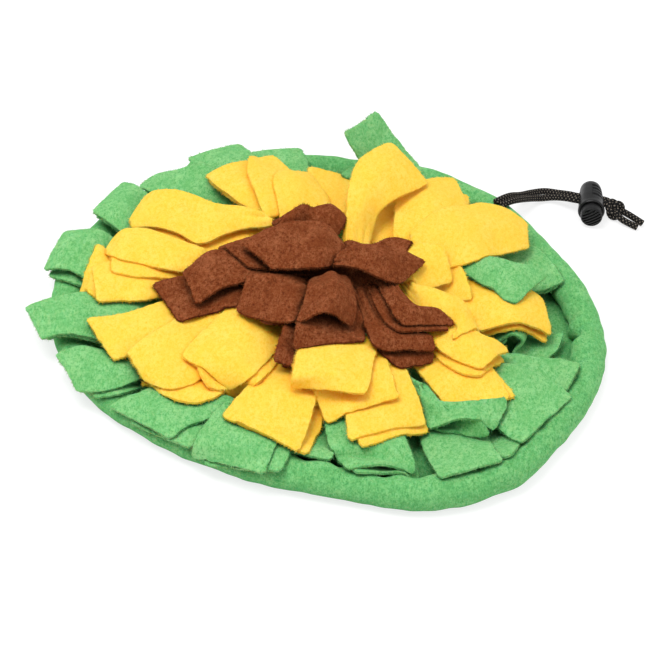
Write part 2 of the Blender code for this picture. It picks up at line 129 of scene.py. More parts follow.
# The strips in the order in which they lie, from the lowest to the highest
STRIPS = (
    Strip("green_01", (-10, -142, 12), -95, width=36, fan=-6),
    Strip("green_02", (62, 128, 12), 62, fan=-12),
    Strip("green_03", (-53, 149, 16), 110),
    Strip("green_04", (-111, 117, 14), 136, width=46, fan=14),
    Strip("green_05", (-141, -102, 14), -142, fan=18, short=0, roll=-3),
    Strip("green_06", (-92, 135, 20), 126, fan=-10),
    Strip("green_07", (-150, 69, 18), 152, fan=6, short=2),
    Strip("green_08", (-172, 9, 18), 174, fan=5, short=3, roll=-3),
    Strip("green_09", (-97, -131, 15), -122, fan=7, short=2),
    Strip("green_10", (-49, -148, 13), -108, width=44, fan=9, short=2),
    Strip("green_11", (-169, -70, 20), -153, length=88, width=35, fan=-10, short=12),
    Strip("green_12", (88, -125, 9), -54, fan=8),
    Strip("green_13", (33, -142, 15), -80, width=46, roll=-7, fan=6, short=2),
    Strip("green_14", (132, 70, 14), 22, width=44, fan=20, short=0),
    Strip("green_15", (127, -15, 10), -20, length=60, roll=5, bend=-30),
    Strip("green_16", (126, -79, 12), -34, width=50, fan=22, short=-4),
    Strip("green_17", (88, -100, 20), -56, roll=5, fan=6),
    Strip("yellow_01", (-16, 126, 22), 97),
    Strip("yellow_02", (-89, 107, 24), 132, fan=-16, short=-3),
    Strip("yellow_03", (-42, 112, 26), 104, fan=9, length=72),
    Strip("green_18", (-1, 147, 46), 154, length=60, width=40, bend=20),
    Strip("yellow_04", (124, 2, 22), 1, fan=10, short=4),
    Strip("green_19", (116, 26, 26), 16, length=54, width=38, roll=4),
    Strip("yellow_05", (46, 113, 30), 97, width=40, length=82, fan=-14),
    Strip("yellow_06", (112, 80, 27), 10, width=46, length=84, bend=-24, fan=-9),
    Strip("yellow_07", (-142, -25, 22), -172, width=40, fan=-8, short=-6),
    Strip("yellow_08", (-135, 11, 25), 168, width=40, roll=4),
    Strip("yellow_09", (-127, 52, 26), 165, width=46, roll=-5),
    Strip("yellow_10", (-130, -74, 20), -148, length=70),
    Strip("yellow_11", (-101, -96, 20), -138, length=62, fan=14, short=0),
    Strip("yellow_12", (-31, -135, 18), -112, width=46, length=60, fan=14, short=0),
    Strip("yellow_13", (38, -122, 18), -66, width=46, length=50, fan=6, short=-3),
    Strip("yellow_14", (90, -82, 18), -50, length=56, fan=8),
    Strip("yellow_15", (20, -108, 22), -62, width=46, length=60, fan=6),
    Strip("yellow_16", (-66, -96, 24), -121, width=44, length=52, fan=8, short=-3),
    Strip("yellow_17", (92, -52, 24), -32, length=44, fan=8, short=-3),
    Strip("yellow_18", (35, 103, 50), 38, length=84, width=40, arch=8, bend=-55, fan=12),
    Strip("brown_01", (22, -3, 20), 8, length=40),
    Strip("brown_02", (-21, -87, 24), -96, width=18, length=40),
    Strip("yellow_19", (3, -99, 28), -86, width=44, length=50),
    Strip("yellow_20", (64, 26, 31), 6, width=38, length=48, fan=-34, short=-12),
    Strip("brown_03", (-85, -34, 36), -155, length=64, width=36, fan=6, short=-12),
    Strip("brown_04", (-22, 46, 40), 104, width=46, length=36, roll=-8),
    Strip("brown_05", (44, -59, 28), -60, length=52, short=-3, fan=8),
    Strip("brown_06", (54, -36, 34), -64, length=44, bend=-30, short=-3, fan=8),
    Strip("brown_07", (-54, -35, 38), 174, width=37, length=37, roll=-3),
    Strip("brown_08", (-5, -52, 36), -90, width=38, length=40, roll=-8, short=-14),
    Strip("brown_09", (-62, -3, 40), -152, length=56, width=40, skew=-22, fan=-8, short=-4),
    Strip("brown_10", (42, 0, 42), -30, length=33, width=40, bend=-25, puff=7, fan=35, short=-12),
)


# Tails whose folds are listed. A row runs across the tail, and the rows go from its
# root to its tip. In a row: the left edge's x and y in pixels of the camera's picture and its
# height in mm, the same of the right edge, and how far the middle stands above the two.
DRAPES = {
    "yellow_18": (
        (346, 250, 33, 368, 252, 30, 1), (347, 224, 42, 372, 228, 33, 2), (350, 192, 49, 379, 210, 39, 3),
        (358, 165, 52, 392, 199, 42, 4), (373, 152, 51, 409, 191, 41, 4), (390, 145, 48, 426, 184, 38, 2),
    ),
    "yellow_05": (
        (402, 262, 27, 440, 268, 26, 2), (396, 240, 31, 452, 247, 29, 4), (396, 216, 33, 460, 226, 31, 5),
        (399, 198, 33, 466, 208, 31, 5), (404, 188, 32, 453, 180, 28, 3),
    ),
    "yellow_06": (
        (416, 230, 33, 424, 268, 29, 2), (440, 211, 34, 450, 267, 30, 4), (466, 207, 35, 478, 259, 31, 5),
        (485, 205, 34, 498, 254, 30, 5), (504, 210, 31, 513, 251, 28, 4), (525, 224, 27, 526, 248, 25, 2),
    ),
    "green_19": (
        (446, 262, 26, 446, 273, 24, 0), (470, 259, 30, 468, 275, 28, 1), (490, 258, 32, 484, 284, 28, 2),
        (512, 264, 32, 497, 292, 27, 2), (530, 268, 31, 506, 299, 24, 2), (545, 276, 28, 515, 303, 20, 1),
    ),
    "yellow_04": (
        (440, 275, 22, 450, 322, 20, 1), (470, 281, 24, 480, 330, 22, 2), (495, 287, 26, 498, 325, 26, 2),
        (514, 289, 26, 518, 322, 27, 1), (528, 291, 25, 533, 326, 22, 1), (541, 299, 20, 549, 335, 16, 2),
    ),
    "brown_04": (
        (276, 222, 38, 280, 233, 34, 0), (290, 213, 44, 292, 230, 37, 3), (303, 207, 48, 303, 230, 38, -4),
        (313, 209, 46, 316, 232, 38, 1), (331, 206, 46, 330, 236, 38, 4), (345, 217, 42, 339, 236, 37, 3),
    ),
    "brown_09": (
        (337, 262, 43, 342, 242, 41, 2), (320, 266, 47, 326, 225, 46, 2), (300, 268, 48, 300, 222, 48, 1),
        (286, 268, 48, 268, 230, 48, 1), (273, 268, 46, 242, 243, 47, 1),
    ),
    "brown_09_lower": (
        (336, 262, 38, 338, 246, 37, 0), (310, 268, 38, 305, 232, 37, 0), (280, 270, 37, 262, 236, 37, 0),
        (260, 269, 35, 236, 242, 37, 2), (249, 268, 32, 219, 248, 35, 3),
    ),
    "brown_07": (
        (303, 314, 35, 303, 281, 35, 4), (290, 321, 39, 289, 277, 41, 2), (270, 320, 40, 272, 276, 42, 1),
        (253, 316, 39, 259, 276, 41, 1), (238, 311, 36, 249, 277, 39, 0),
    ),
    "brown_08": (
        (346, 279, 40, 311, 282, 40, 4), (352, 291, 42, 308, 293, 42, 7), (355, 307, 41, 304, 307, 41, 9),
        (350, 325, 39, 299, 321, 39, 9),
    ),
    "brown_08_lower": (
        (345, 285, 33, 314, 288, 33, 0), (352, 300, 32, 308, 304, 32, 0), (360, 318, 31, 300, 318, 31, 1),
        (362, 330, 30, 297, 332, 30, 1), (363, 342, 28, 294, 348, 28, 1),
    ),
    "brown_10": (
        (341, 254, 46, 336, 265, 45, 2), (354, 247, 50, 352, 266, 50, 3), (377, 246, 50, 370, 272, 51, 3),
        (400, 251, 47, 386, 279, 48, 2), (424, 262, 42, 400, 283, 41, 1),
    ),
    "brown_10_lower": (
        (346, 256, 38, 342, 266, 36, 0), (362, 250, 39, 360, 264, 37, 0), (378, 244, 39, 380, 262, 37, 0),
        (394, 238, 38, 396, 259, 36, 0), (411, 242, 35, 404, 253, 35, 1),
    ),
    "brown_06": (
        (396, 284, 40, 380, 285, 40, 1), (405, 297, 41, 386, 297, 41, 2), (418, 308, 40, 392, 308, 42, 2),
        (437, 311, 37, 397, 317, 41, 2), (453, 325, 32, 404, 324, 39, 1),
    ),
    "brown_06_lower": (
        (388, 286, 36, 369, 287, 36, 0), (396, 300, 36, 374, 300, 37, 1), (410, 313, 35, 380, 312, 37, 1),
        (428, 319, 32, 387, 323, 36, 1), (448, 330, 28, 399, 332, 34, 1),
    ),
    "brown_05": (
        (390, 310, 33, 364, 318, 33, 1), (404, 322, 33, 367, 328, 34, 1), (418, 331, 32, 371, 337, 34, 1),
        (430, 338, 30, 375, 346, 34, 1), (433, 350, 28, 388, 350, 32, 1),
    ),
    "brown_05_lower": (
        (384, 294, 27, 354, 296, 27, 0), (391, 312, 28, 360, 314, 28, 0), (405, 332, 28, 368, 334, 29, 0),
        (418, 344, 27, 377, 347, 29, 0), (430, 351, 25, 385, 356, 28, 0), (432, 361, 22, 400, 367, 25, 0),
    ),
    "yellow_04_lower": (
        (445, 285, 19, 452, 330, 16, 0), (470, 290, 20, 482, 335, 17, 0), (495, 292, 22, 499, 331, 21, 0),
        (514, 294, 22, 518, 328, 23, 0), (528, 298, 20, 531, 333, 17, 0), (540, 306, 16, 545, 342, 12, 1),
    ),
    "yellow_20": (
        (396, 247, 36, 390, 275, 34, 1), (410, 246, 36, 404, 282, 33, 2), (426, 245, 35, 424, 287, 32, 2),
        (443, 248, 31, 450, 282, 28, 1),
    ),
    "yellow_20_lower": (
        (401, 268, 31, 402, 288, 30, 0), (407, 276, 34, 413, 302, 32, 1), (416, 286, 37, 427, 309, 35, 2),
        (432, 289, 39, 440, 311, 36, 2), (450, 296, 38, 451, 317, 34, 3), (463, 303, 35, 457, 324, 30, 2),
        (470, 316, 30, 458, 331, 25, 1), (479, 334, 22, 453, 338, 21, 0),
    ),
    "yellow_17": (
        (456, 314, 25, 430, 332, 25, 1), (468, 327, 28, 437, 345, 27, 3), (481, 335, 28, 450, 356, 26, 4),
        (494, 340, 26, 464, 363, 24, 4), (507, 350, 22, 481, 369, 20, 3),
    ),
    "yellow_17_lower": (
        (450, 328, 20, 430, 345, 20, 0), (466, 338, 22, 436, 355, 21, 1), (480, 345, 21, 449, 366, 19, 1),
        (494, 353, 19, 463, 374, 17, 1), (503, 361, 16, 478, 377, 14, 0),
    ),
    "green_15": (
        (488, 325, 6, 486, 352, 5, 0), (503, 318, 14, 500, 341, 14, 0), (520, 316, 18, 514, 334, 20, 0),
        (530, 322, 14, 523, 342, 15, 0), (524, 332, 8, 514, 352, 8, 0), (530, 340, 6, 516, 362, 5, 0),
        (545, 338, 8, 535, 364, 5, 0), (562, 334, 9, 556, 350, 8, 0),
    ),
    "green_16": (
        (497, 365, 16, 478, 410, 14, 1), (515, 367, 18, 490, 420, 15, 2), (535, 375, 19, 502, 430, 15, 3),
        (554, 385, 18, 512, 438, 13, 3), (570, 398, 14, 521, 444, 9, 2),
    ),
    "green_16_lower": (
        (515, 356, 12, 510, 385, 12, 0), (535, 359, 13, 530, 388, 13, 0), (556, 361, 13, 552, 392, 12, 1),
        (579, 366, 12, 566, 392, 10, 1),
    ),
    "green_17": (
        (424, 386, 16, 409, 379, 16, 0), (452, 411, 20, 417, 398, 15, 1), (480, 404, 22, 423, 412, 13, 3),
        (503, 402, 22, 426, 420, 10, 5), (493, 430, 13, 430, 428, 8, 8),
    ),
    "green_17_lower": (
        (425, 394, 11, 411, 386, 11, 0), (450, 414, 12, 416, 402, 10, 0), (476, 418, 10, 424, 418, 7, -1),
        (490, 434, 6, 430, 429, 4, -3),
    ),
    "yellow_14": (
        (468, 350, 18, 412, 360, 18, 1), (484, 362, 20, 424, 376, 19, 2), (494, 373, 21, 434, 388, 20, 3),
        (501, 385, 20, 443, 400, 18, 2), (508, 398, 18, 452, 414, 15, 2),
    ),
    "yellow_14_lower": (
        (470, 358, 12, 420, 368, 12, 0), (490, 372, 13, 432, 385, 12, 0), (503, 384, 13, 446, 402, 12, 0),
        (514, 397, 12, 470, 412, 11, 0),
    ),
    "yellow_19": (
        (362, 335, 26, 312, 338, 26, 1), (373, 349, 28, 300, 351, 28, 2), (371, 364, 28, 296, 368, 28, 2),
        (369, 378, 26, 294, 378, 27, 2), (365, 393, 22, 292, 386, 24, 1),
    ),
    "yellow_15": (
        (378, 345, 22, 318, 350, 22, 1), (385, 360, 25, 312, 368, 23, 2), (390, 376, 24, 314, 386, 22, 2),
        (394, 390, 21, 320, 404, 20, 2), (397, 399, 18, 327, 423, 16, 1),
    ),
    "yellow_13": (
        (398, 352, 20, 345, 362, 20, 1), (405, 372, 22, 345, 385, 20, 2), (413, 390, 21, 346, 405, 19, 2),
        (419, 407, 19, 348, 425, 17, 2), (424, 424, 16, 350, 443, 14, 1),
    ),
    "yellow_13_lower": (
        (400, 360, 15, 350, 368, 15, 0), (410, 388, 16, 350, 395, 15, 0), (418, 408, 15, 354, 420, 14, 0),
        (426, 432, 12, 361, 448, 10, 0),
    ),
    "yellow_12": (
        (312, 378, 22, 275, 352, 22, 1), (316, 392, 24, 258, 376, 23, 2), (312, 408, 24, 245, 392, 22, 2),
        (306, 428, 21, 234, 404, 19, 2), (297, 452, 15, 224, 418, 15, 1),
    ),
    "yellow_12_lower": (
        (322, 385, 15, 280, 365, 15, 0), (322, 402, 16, 262, 385, 15, 0), (321, 418, 15, 250, 402, 14, 0),
        (314, 438, 13, 243, 420, 12, 0), (305, 455, 10, 238, 424, 9, 0),
    ),
    "yellow_16": (
        (290, 328, 22, 246, 284, 24, 2), (278, 345, 25, 234, 302, 29, 3), (264, 362, 26, 212, 325, 28, 4),
        (248, 377, 23, 194, 343, 25, 3), (231, 389, 17, 183, 357, 19, 2),
    ),
    "yellow_16_lower": (
        (282, 352, 16, 245, 325, 18, 0), (272, 368, 17, 225, 335, 18, 0), (256, 383, 15, 210, 350, 16, 0),
        (243, 397, 12, 200, 370, 13, 0), (232, 400, 10, 208, 386, 9, 0),
    ),
    "yellow_11": (
        (250, 312, 25, 221, 286, 27, 3), (236, 332, 24, 203, 300, 26, 2), (222, 352, 22, 185, 316, 23, 1),
        (206, 372, 22, 170, 324, 23, 2), (188, 384, 20, 155, 333, 22, 2), (168, 388, 17, 141, 343, 19, 2),
        (147, 380, 14, 128, 354, 15, 1),
    ),
    "yellow_11_lower": (
        (232, 378, 12, 205, 345, 12, 0), (216, 397, 12, 182, 358, 12, 0), (196, 403, 11, 165, 368, 12, 0),
        (170, 398, 10, 152, 376, 11, 0), (150, 390, 8, 142, 381, 8, 0),
    ),
    "yellow_10": (
        (185, 338, 20, 172, 300, 22, 1), (160, 345, 23, 150, 307, 25, 2), (142, 350, 22, 128, 314, 24, 3),
        (128, 355, 19, 106, 318, 21, 2), (115, 362, 14, 88, 320, 16, 1),
    ),
    "brown_03": (
        (300, 275, 34, 300, 262, 34, 0), (272, 276, 37, 268, 258, 36, 1), (246, 281, 38, 240, 254, 37, 1),
        (222, 287, 38, 213, 252, 38, 1), (198, 303, 33, 184, 273, 35, 1),
    ),
    "brown_03_lower": (
        (262, 300, 28, 250, 270, 28, 0), (240, 305, 28, 225, 272, 28, 0), (218, 311, 28, 200, 275, 29, 1),
        (200, 314, 28, 178, 279, 28, 1), (180, 321, 24, 154, 286, 26, 1),
    ),
    "green_14": (
        (480, 240, 10, 478, 285, 10, 1), (500, 240, 13, 500, 288, 13, 2), (520, 243, 15, 520, 290, 14, 2),
        (537, 250, 15, 542, 290, 13, 2), (550, 263, 12, 562, 282, 10, 1),
    ),
    "green_11": (
        (150, 348, 12, 165, 300, 12, 1), (120, 345, 17, 135, 297, 19, 1), (95, 338, 19, 105, 294, 20, 2),
        (72, 333, 20, 78, 294, 21, 3), (56, 334, 19, 51, 300, 20, 2), (43, 341, 16, 27, 309, 17, 1),
    ),
    "green_09": (
        (235, 405, 16, 180, 375, 16, 1), (215, 415, 17, 160, 385, 17, 2), (198, 421, 17, 143, 393, 17, 2),
        (183, 428, 15, 127, 399, 16, 2), (170, 438, 12, 111, 407, 14, 1),
    ),
    "green_09_lower": (
        (240, 412, 10, 190, 385, 10, 0), (222, 422, 11, 168, 392, 11, 0), (207, 432, 11, 150, 402, 11, 0),
        (190, 448, 9, 131, 424, 9, 0),
    ),
    "green_10": (
        (285, 425, 16, 225, 405, 16, 1), (280, 437, 17, 212, 418, 17, 2), (273, 448, 16, 203, 430, 16, 2),
        (268, 460, 14, 196, 444, 14, 2), (263, 472, 10, 193, 457, 10, 1),
    ),
    "green_10_lower": (
        (292, 430, 10, 232, 412, 10, 0), (290, 443, 11, 225, 425, 11, 0), (287, 456, 10, 215, 445, 10, 0),
        (279, 472, 8, 205, 463, 8, 0),
    ),
    "green_05": (
        (160, 380, 14, 130, 345, 14, 1), (141, 377, 17, 115, 352, 18, 2), (122, 385, 18, 98, 350, 20, 3),
        (100, 390, 17, 80, 347, 19, 3), (78, 390, 13, 57, 354, 15, 2),
    ),
    "green_13": (
        (402, 432, 16, 326, 415, 16, 1), (405, 442, 17, 328, 432, 16, 2), (409, 452, 16, 331, 448, 15, 2),
        (413, 462, 14, 338, 461, 12, 2), (412, 474, 9, 348, 471, 8, 6),
    ),
    "green_13_lower": (
        (400, 440, 10, 335, 430, 10, 0), (408, 456, 10, 340, 448, 10, 0), (415, 470, 9, 346, 462, 8, 0),
        (418, 482, 6, 356, 475, 6, 3),
    ),
    "green_12": (
        (480, 425, 9, 420, 425, 7, 0), (487, 440, 10, 424, 445, 9, 2), (494, 452, 10, 431, 461, 11, 2),
        (500, 462, 9, 441, 479, 10, 1),
    ),
    "yellow_07": (
        (160, 296, 22, 165, 275, 22, 0), (140, 299, 24, 142, 268, 24, 2), (118, 301, 23, 118, 263, 24, 3),
        (98, 301, 18, 94, 269, 20, 2),
    ),
    "yellow_07_lower": (
        (140, 296, 17, 140, 262, 18, 0), (118, 298, 18, 120, 256, 20, 0), (99, 298, 17, 108, 252, 21, 1),
        (80, 295, 13, 98, 246, 19, 1),
    ),
    "yellow_08": (
        (192, 271, 28, 200, 248, 30, 1), (165, 268, 29, 170, 238, 31, 2), (142, 263, 28, 145, 230, 30, 2),
        (122, 259, 25, 123, 232, 27, 2), (109, 257, 22, 108, 249, 22, 0),
    ),
    "yellow_08_lower": (
        (190, 278, 22, 195, 262, 24, 0), (160, 277, 23, 165, 258, 25, 0), (135, 276, 22, 138, 255, 24, 1),
        (113, 272, 19, 113, 257, 20, 1),
    ),
    "yellow_09": (
        (270, 224, 30, 258, 210, 32, 0), (243, 228, 31, 236, 207, 33, 1), (220, 235, 31, 212, 204, 34, 1),
        (199, 243, 30, 192, 196, 33, 1), (178, 232, 30, 172, 191, 33, 2), (156, 226, 28, 152, 193, 30, 3),
        (134, 228, 23, 131, 219, 24, 1),
    ),
    "yellow_09_lower": (
        (262, 236, 24, 250, 215, 25, 0), (235, 243, 25, 230, 212, 26, 0), (212, 254, 25, 205, 206, 26, 0),
        (190, 249, 25, 182, 200, 26, 0), (165, 237, 24, 160, 198, 25, 1), (140, 232, 20, 138, 212, 22, 1),
    ),
    "yellow_02": (
        (262, 214, 30, 280, 214, 30, 0), (247, 207, 31, 268, 200, 32, 1), (232, 196, 31, 260, 186, 32, 2),
        (218, 186, 29, 254, 173, 30, 2), (207, 177, 25, 247, 163, 26, 3),
    ),
    "yellow_03": (
        (266, 216, 28, 300, 214, 28, 0), (259, 199, 29, 302, 198, 29, 1), (253, 184, 29, 300, 183, 29, 1),
        (249, 172, 28, 290, 172, 27, 1), (251, 163, 26, 273, 158, 27, 1),
    ),
    "yellow_01": (
        (281, 216, 31, 330, 208, 30, 0), (279, 203, 32, 326, 196, 31, 1), (276, 190, 32, 318, 186, 31, 2),
        (275, 179, 31, 312, 179, 29, 2), (279, 172, 28, 307, 175, 26, 1),
    ),
    "yellow_01_lower": (
        (310, 212, 24, 352, 210, 24, 0), (309, 198, 25, 353, 197, 25, 1), (308, 184, 25, 352, 187, 25, 1),
        (310, 169, 23, 350, 180, 22, 1),
    ),
    "brown_01": (
        (302, 264, 24, 302, 304, 24, 0), (335, 258, 26, 330, 304, 26, 1), (378, 260, 28, 376, 300, 27, 1),
        (402, 268, 26, 398, 298, 25, 1),
    ),
    "green_05_lower": (
        (160, 388, 9, 140, 360, 9, 0), (141, 388, 11, 120, 365, 11, 0), (120, 394, 11, 100, 370, 11, 0),
        (97, 398, 9, 80, 375, 9, 0),
    ),
    "green_08": (
        (100, 284, 15, 118, 243, 16, 1), (84, 276, 18, 104, 233, 20, 2), (70, 269, 19, 90, 230, 21, 3),
        (57, 268, 18, 77, 231, 20, 3), (46, 270, 14, 65, 233, 17, 2),
    ),
    "green_08_lower": (
        (95, 292, 10, 110, 255, 10, 0), (72, 283, 12, 85, 262, 12, 0), (51, 277, 10, 60, 262, 10, 0),
    ),
    "green_07": (
        (150, 250, 14, 165, 205, 14, 1), (128, 236, 18, 148, 196, 18, 2), (110, 222, 20, 136, 187, 20, 2),
        (94, 213, 18, 124, 184, 18, 1),
    ),
    "green_06": (
        (232, 192, 18, 266, 172, 18, 0), (216, 180, 19, 258, 163, 20, 2), (201, 169, 19, 251, 155, 20, 2),
        (189, 159, 17, 239, 146, 18, 1),
    ),
    "green_03": (
        (262, 185, 15, 308, 180, 15, 1), (256, 170, 17, 307, 172, 17, 2), (252, 160, 17, 305, 160, 17, 2),
        (252, 154, 16, 299, 150, 16, 1),
    ),
    "green_04": (
        (245, 215, 14, 238, 180, 14, 0), (215, 208, 14, 212, 170, 15, 1), (185, 202, 14, 190, 168, 15, 1),
        (160, 196, 12, 172, 172, 14, 1), (140, 190, 11, 158, 176, 12, 1),
    ),
    "yellow_06_lower": (
        (418, 238, 26, 422, 290, 24, 0), (434, 248, 27, 440, 294, 24, 1), (449, 263, 27, 456, 299, 22, 2),
        (461, 269, 25, 471, 299, 20, 1),
    ),
    "yellow_05_lower": (
        (385, 262, 22, 430, 268, 22, 0), (371, 242, 24, 440, 247, 23, 1), (371, 218, 25, 458, 226, 24, 2),
        (380, 203, 25, 466, 210, 24, 2), (396, 194, 24, 467, 196, 22, 1),
    ),
    "green_12_lower": (
        (498, 421, 8, 425, 428, 4, 0), (510, 432, 8, 430, 445, 4, 0), (518, 445, 8, 440, 458, 4, 0),
        (509, 457, 7, 450, 470, 4, 0),
    ),
}
# Share of its upper tail's length that a draped strip's lower tail has, where it has no rows
# of its own: as a rule, and where the photo shows less of it
LOWER_SHARE = 0.96
UNDER_SHARE = {
    "green_15": 0.2, "green_19": 0.6, "yellow_18": 0.8, "brown_01": 0.6, "brown_07": 0.7,
}
# Strips whose folds ride up over a strip that is sewn on later
LAID_AFTER = {
    "green_04": "green_07", "green_17": "yellow_14", "yellow_20": "brown_06",
    "yellow_01": "yellow_03",
}

# Colours, sRGB. Of fleece: in a hollow, as painted shade; in the nap's low places, as painted
# shade over its grain; as a whole; and on its high places and brushed patches, partly as a
# painted highlight. Of cord: its yarns in painted shade between them and on their crests, and
# the darkest and the lightest of its painted highlights. Of plastic: the darkest and the lightest.
TONES = {
    "green": ((24, 104, 52), (66, 146, 76), (110, 178, 108), (142, 198, 132)),
    "base": ((20, 96, 46), (58, 136, 72), (100, 172, 102), (132, 194, 126)),
    "yellow": ((247, 174, 30), (239, 180, 46), (247, 198, 72), (251, 207, 94)),
    "brown": ((10, 3, 1), (70, 29, 12), (114, 57, 28), (146, 86, 54)),
    "yarn": ((3, 3, 4), (24, 23, 24)),
    "fleck": ((84, 78, 70), (150, 140, 126)),
    "plastic": ((8, 8, 9), (22, 22, 23)),
}
PAINTED_HOLLOW_REACH = 18.0  # painted shade darkens fleece where other cloth is nearer than this above it
GLOW_REACH = 2.5  # how far light spreads inside the fleece
FIBRE_GRAIN, CLUMP_GRAIN, BRUSHED_GRAIN = 0.75, 1.9, 9.0  # sizes of the fleece's marks
NAP_DEPTH = 0.8  # of the fleece's bump
YARN_GRAIN, SCUFF, SKIN_GRAIN = 0.25, 3.0, 0.3  # sizes of the cord's and the plastic's marks
# Where one tone turns into the next: heights of the noise; for painted shade, shares of open sky
SHADE_SPAN, TIP_SPAN, PAINTED_HOLLOW_SPAN = (0.22, 0.56), (0.44, 0.68), (0.02, 0.72)
SCUFF_SPAN = (0.35, 0.75)


def linear(value):
    """An sRGB channel, 0 to 255, as linear light."""
    share = value / 255
    return share / 12.92 if share <= 0.04045 else ((share + 0.055) / 1.055) ** 2.4


def rgba(tone):
    """A colour socket's value for an sRGB tone."""
    return (*map(linear, tone), 1.0)


# Materials


def add(tree, kind, links=(), **settings):
    """A node of this kind, with its settings, and with links from (input, socket) pairs."""
    node = tree.nodes.new(kind)
    for name, value in settings.items():
        setattr(node, name, value)
    for name, source in links:
        if isinstance(source, bpy.types.NodeSocket):
            tree.links.new(source, node.inputs[name])
        else:
            node.inputs[name].default_value = source
    return node


def new_material(name, settings):
    """A material, its node tree, and its shader with these settings."""
    material = bpy.data.materials.new(name)
    material.use_nodes = True
    shader = material.node_tree.nodes["Principled BSDF"]
    for socket, value in settings.items():
        shader.inputs[socket].default_value = value
    return material, material.node_tree, shader


def place_of(tree):
    """The point on the object that is being coloured."""
    return add(tree, "ShaderNodeTexCoord").outputs["Object"]


def noise_of(tree, place, grain, detail, roughness=0.5):
    """Noise whose features are about grain millimetres across."""
    return add(
        tree, "ShaderNodeTexNoise",
        [("Vector", place), ("Scale", 1 / (grain * MM)), ("Detail", detail),
         ("Roughness", roughness)],
    ).outputs["Fac"]


def blend_of(tree, share, low, high):
    """A colour between low and high."""
    return add(
        tree, "ShaderNodeMix", [(0, share), (6, low), (7, high)],
        data_type="RGBA", clamp_factor=True,
    ).outputs[2]


def span_of(tree, value, low, high):
    """value, stretched so that low gives 0 and high gives 1."""
    return add(
        tree, "ShaderNodeMapRange", [("Value", value), ("From Min", low), ("From Max", high)],
        interpolation_type="SMOOTHSTEP",
    ).outputs["Result"]


def weighed(tree, *parts):
    """The sum of each value times its share."""
    total = 0.0
    for value, share in parts:
        total = add(
            tree, "ShaderNodeMath", [(0, value), (1, share), (2, total)],
            operation="MULTIPLY_ADD",
        ).outputs[0]
    return total


def emboss(tree, shader, strength, depth, height):
    """Bump on the shader, depth millimetres deep, from a height of 0 to 1."""
    bump = add(
        tree, "ShaderNodeBump",
        [("Strength", strength), ("Distance", depth * MM), ("Height", height)],
    )
    tree.links.new(bump.outputs["Normal"], shader.inputs["Normal"])


def fleece(tones, relief, glow):
    """Brushed polar fleece: a short soft nap over clumps of fibres, with painted shade in the nap's
    low places and in hollows under other cloth, and a partly painted highlight on the nap's high
    places and brushed patches. relief: the bump's strength. glow: how much light spreads
    inside it."""
    painted_hollow_shade, dark, whole, light = map(rgba, TONES[tones])
    material, tree, shader = new_material(f"{tones}_fleece", {
        "Roughness": 0.97, "Specular IOR Level": 0.05,
        "Subsurface Weight": glow, "Subsurface Scale": GLOW_REACH * MM,
        "Sheen Weight": 0.35, "Sheen Roughness": 0.5, "Sheen Tint": light,
    })
    place = add(
        tree, "ShaderNodeVectorMath", [(0, place_of(tree)), (1, NAP_GRAIN)],
        operation="MULTIPLY",
    ).outputs["Vector"]
    fibres = noise_of(tree, place, FIBRE_GRAIN, 2.0, 0.6)
    clumps = noise_of(tree, place, CLUMP_GRAIN, 2.0)
    brushed = noise_of(tree, place, BRUSHED_GRAIN, 2.0)
    height = weighed(tree, (fibres, 0.55), (clumps, 0.45))
    nap_highlight_and_brushing = weighed(tree, (height, 0.7), (brushed, 0.3))
    # Painted shade in the nap's low places over its grain, and a painted highlight on its high places
    # mixed with brushed patches
    nap = blend_of(tree, span_of(tree, height, *SHADE_SPAN), dark, whole)
    colour = blend_of(tree, span_of(tree, nap_highlight_and_brushing, *TIP_SPAN), nap, light)
    # Painted shade: darker towards the hollow tone where other cloth lies near above
    open_sky = add(
        tree, "ShaderNodeAmbientOcclusion", [("Distance", PAINTED_HOLLOW_REACH * MM)], samples=4,
    ).outputs["AO"]
    colour = blend_of(tree, span_of(tree, open_sky, *PAINTED_HOLLOW_SPAN), painted_hollow_shade, colour)
    tree.links.new(colour, shader.inputs["Base Color"])
    emboss(tree, shader, relief, NAP_DEPTH, height)
    return material


def braid():
    """Black cord with painted highlights on the crests of some yarns, where its attribute marks
    them, and painted shade between the yarns from the attribute plait, its relief.
    """
    material, tree, shader = new_material(
        "black_cord", {"Roughness": 0.7, "Specular IOR Level": 0.12},
    )
    fleck, plait = (
        add(tree, "ShaderNodeAttribute", attribute_name=name).outputs["Fac"]
        for name in ("fleck", "plait")
    )
    fibres = noise_of(tree, place_of(tree), YARN_GRAIN, 2.0)
    # Painted shade: darker in the dips between the yarns, lighter on their crests, by their relief
    yarn = blend_of(tree, plait, *map(rgba, TONES["yarn"]))
    # Painted highlights: lighter on the crests that the attribute marks
    light = blend_of(tree, fibres, *map(rgba, TONES["fleck"]))
    tree.links.new(blend_of(tree, fleck, yarn, light), shader.inputs["Base Color"])
    emboss(tree, shader, strength=0.5, depth=0.08, height=fibres)
    return material


def plastic():
    """Black moulded plastic with a fine eroded skin and faint scuffs."""
    material, tree, shader = new_material(
        "black_plastic", {"Roughness": 0.36, "Specular IOR Level": 0.35},
    )
    place = place_of(tree)
    scuffs = span_of(tree, noise_of(tree, place, SCUFF, 4.0, 0.7), *SCUFF_SPAN)
    colour = blend_of(tree, scuffs, *map(rgba, TONES["plastic"]))
    tree.links.new(colour, shader.inputs["Base Color"])
    skin = noise_of(tree, place, SKIN_GRAIN, 2.0)
    emboss(tree, shader, strength=0.25, depth=0.05, height=skin)
    return material


MATERIALS = {
    "green": fleece("green", relief=0.7, glow=0.3),
    "yellow": fleece("yellow", relief=0.42, glow=0.5),
    "brown": fleece("brown", relief=0.95, glow=0.15),
    "base": fleece("base", relief=0.8, glow=0.3),
    "cord": braid(),
    "plastic": plastic(),
}


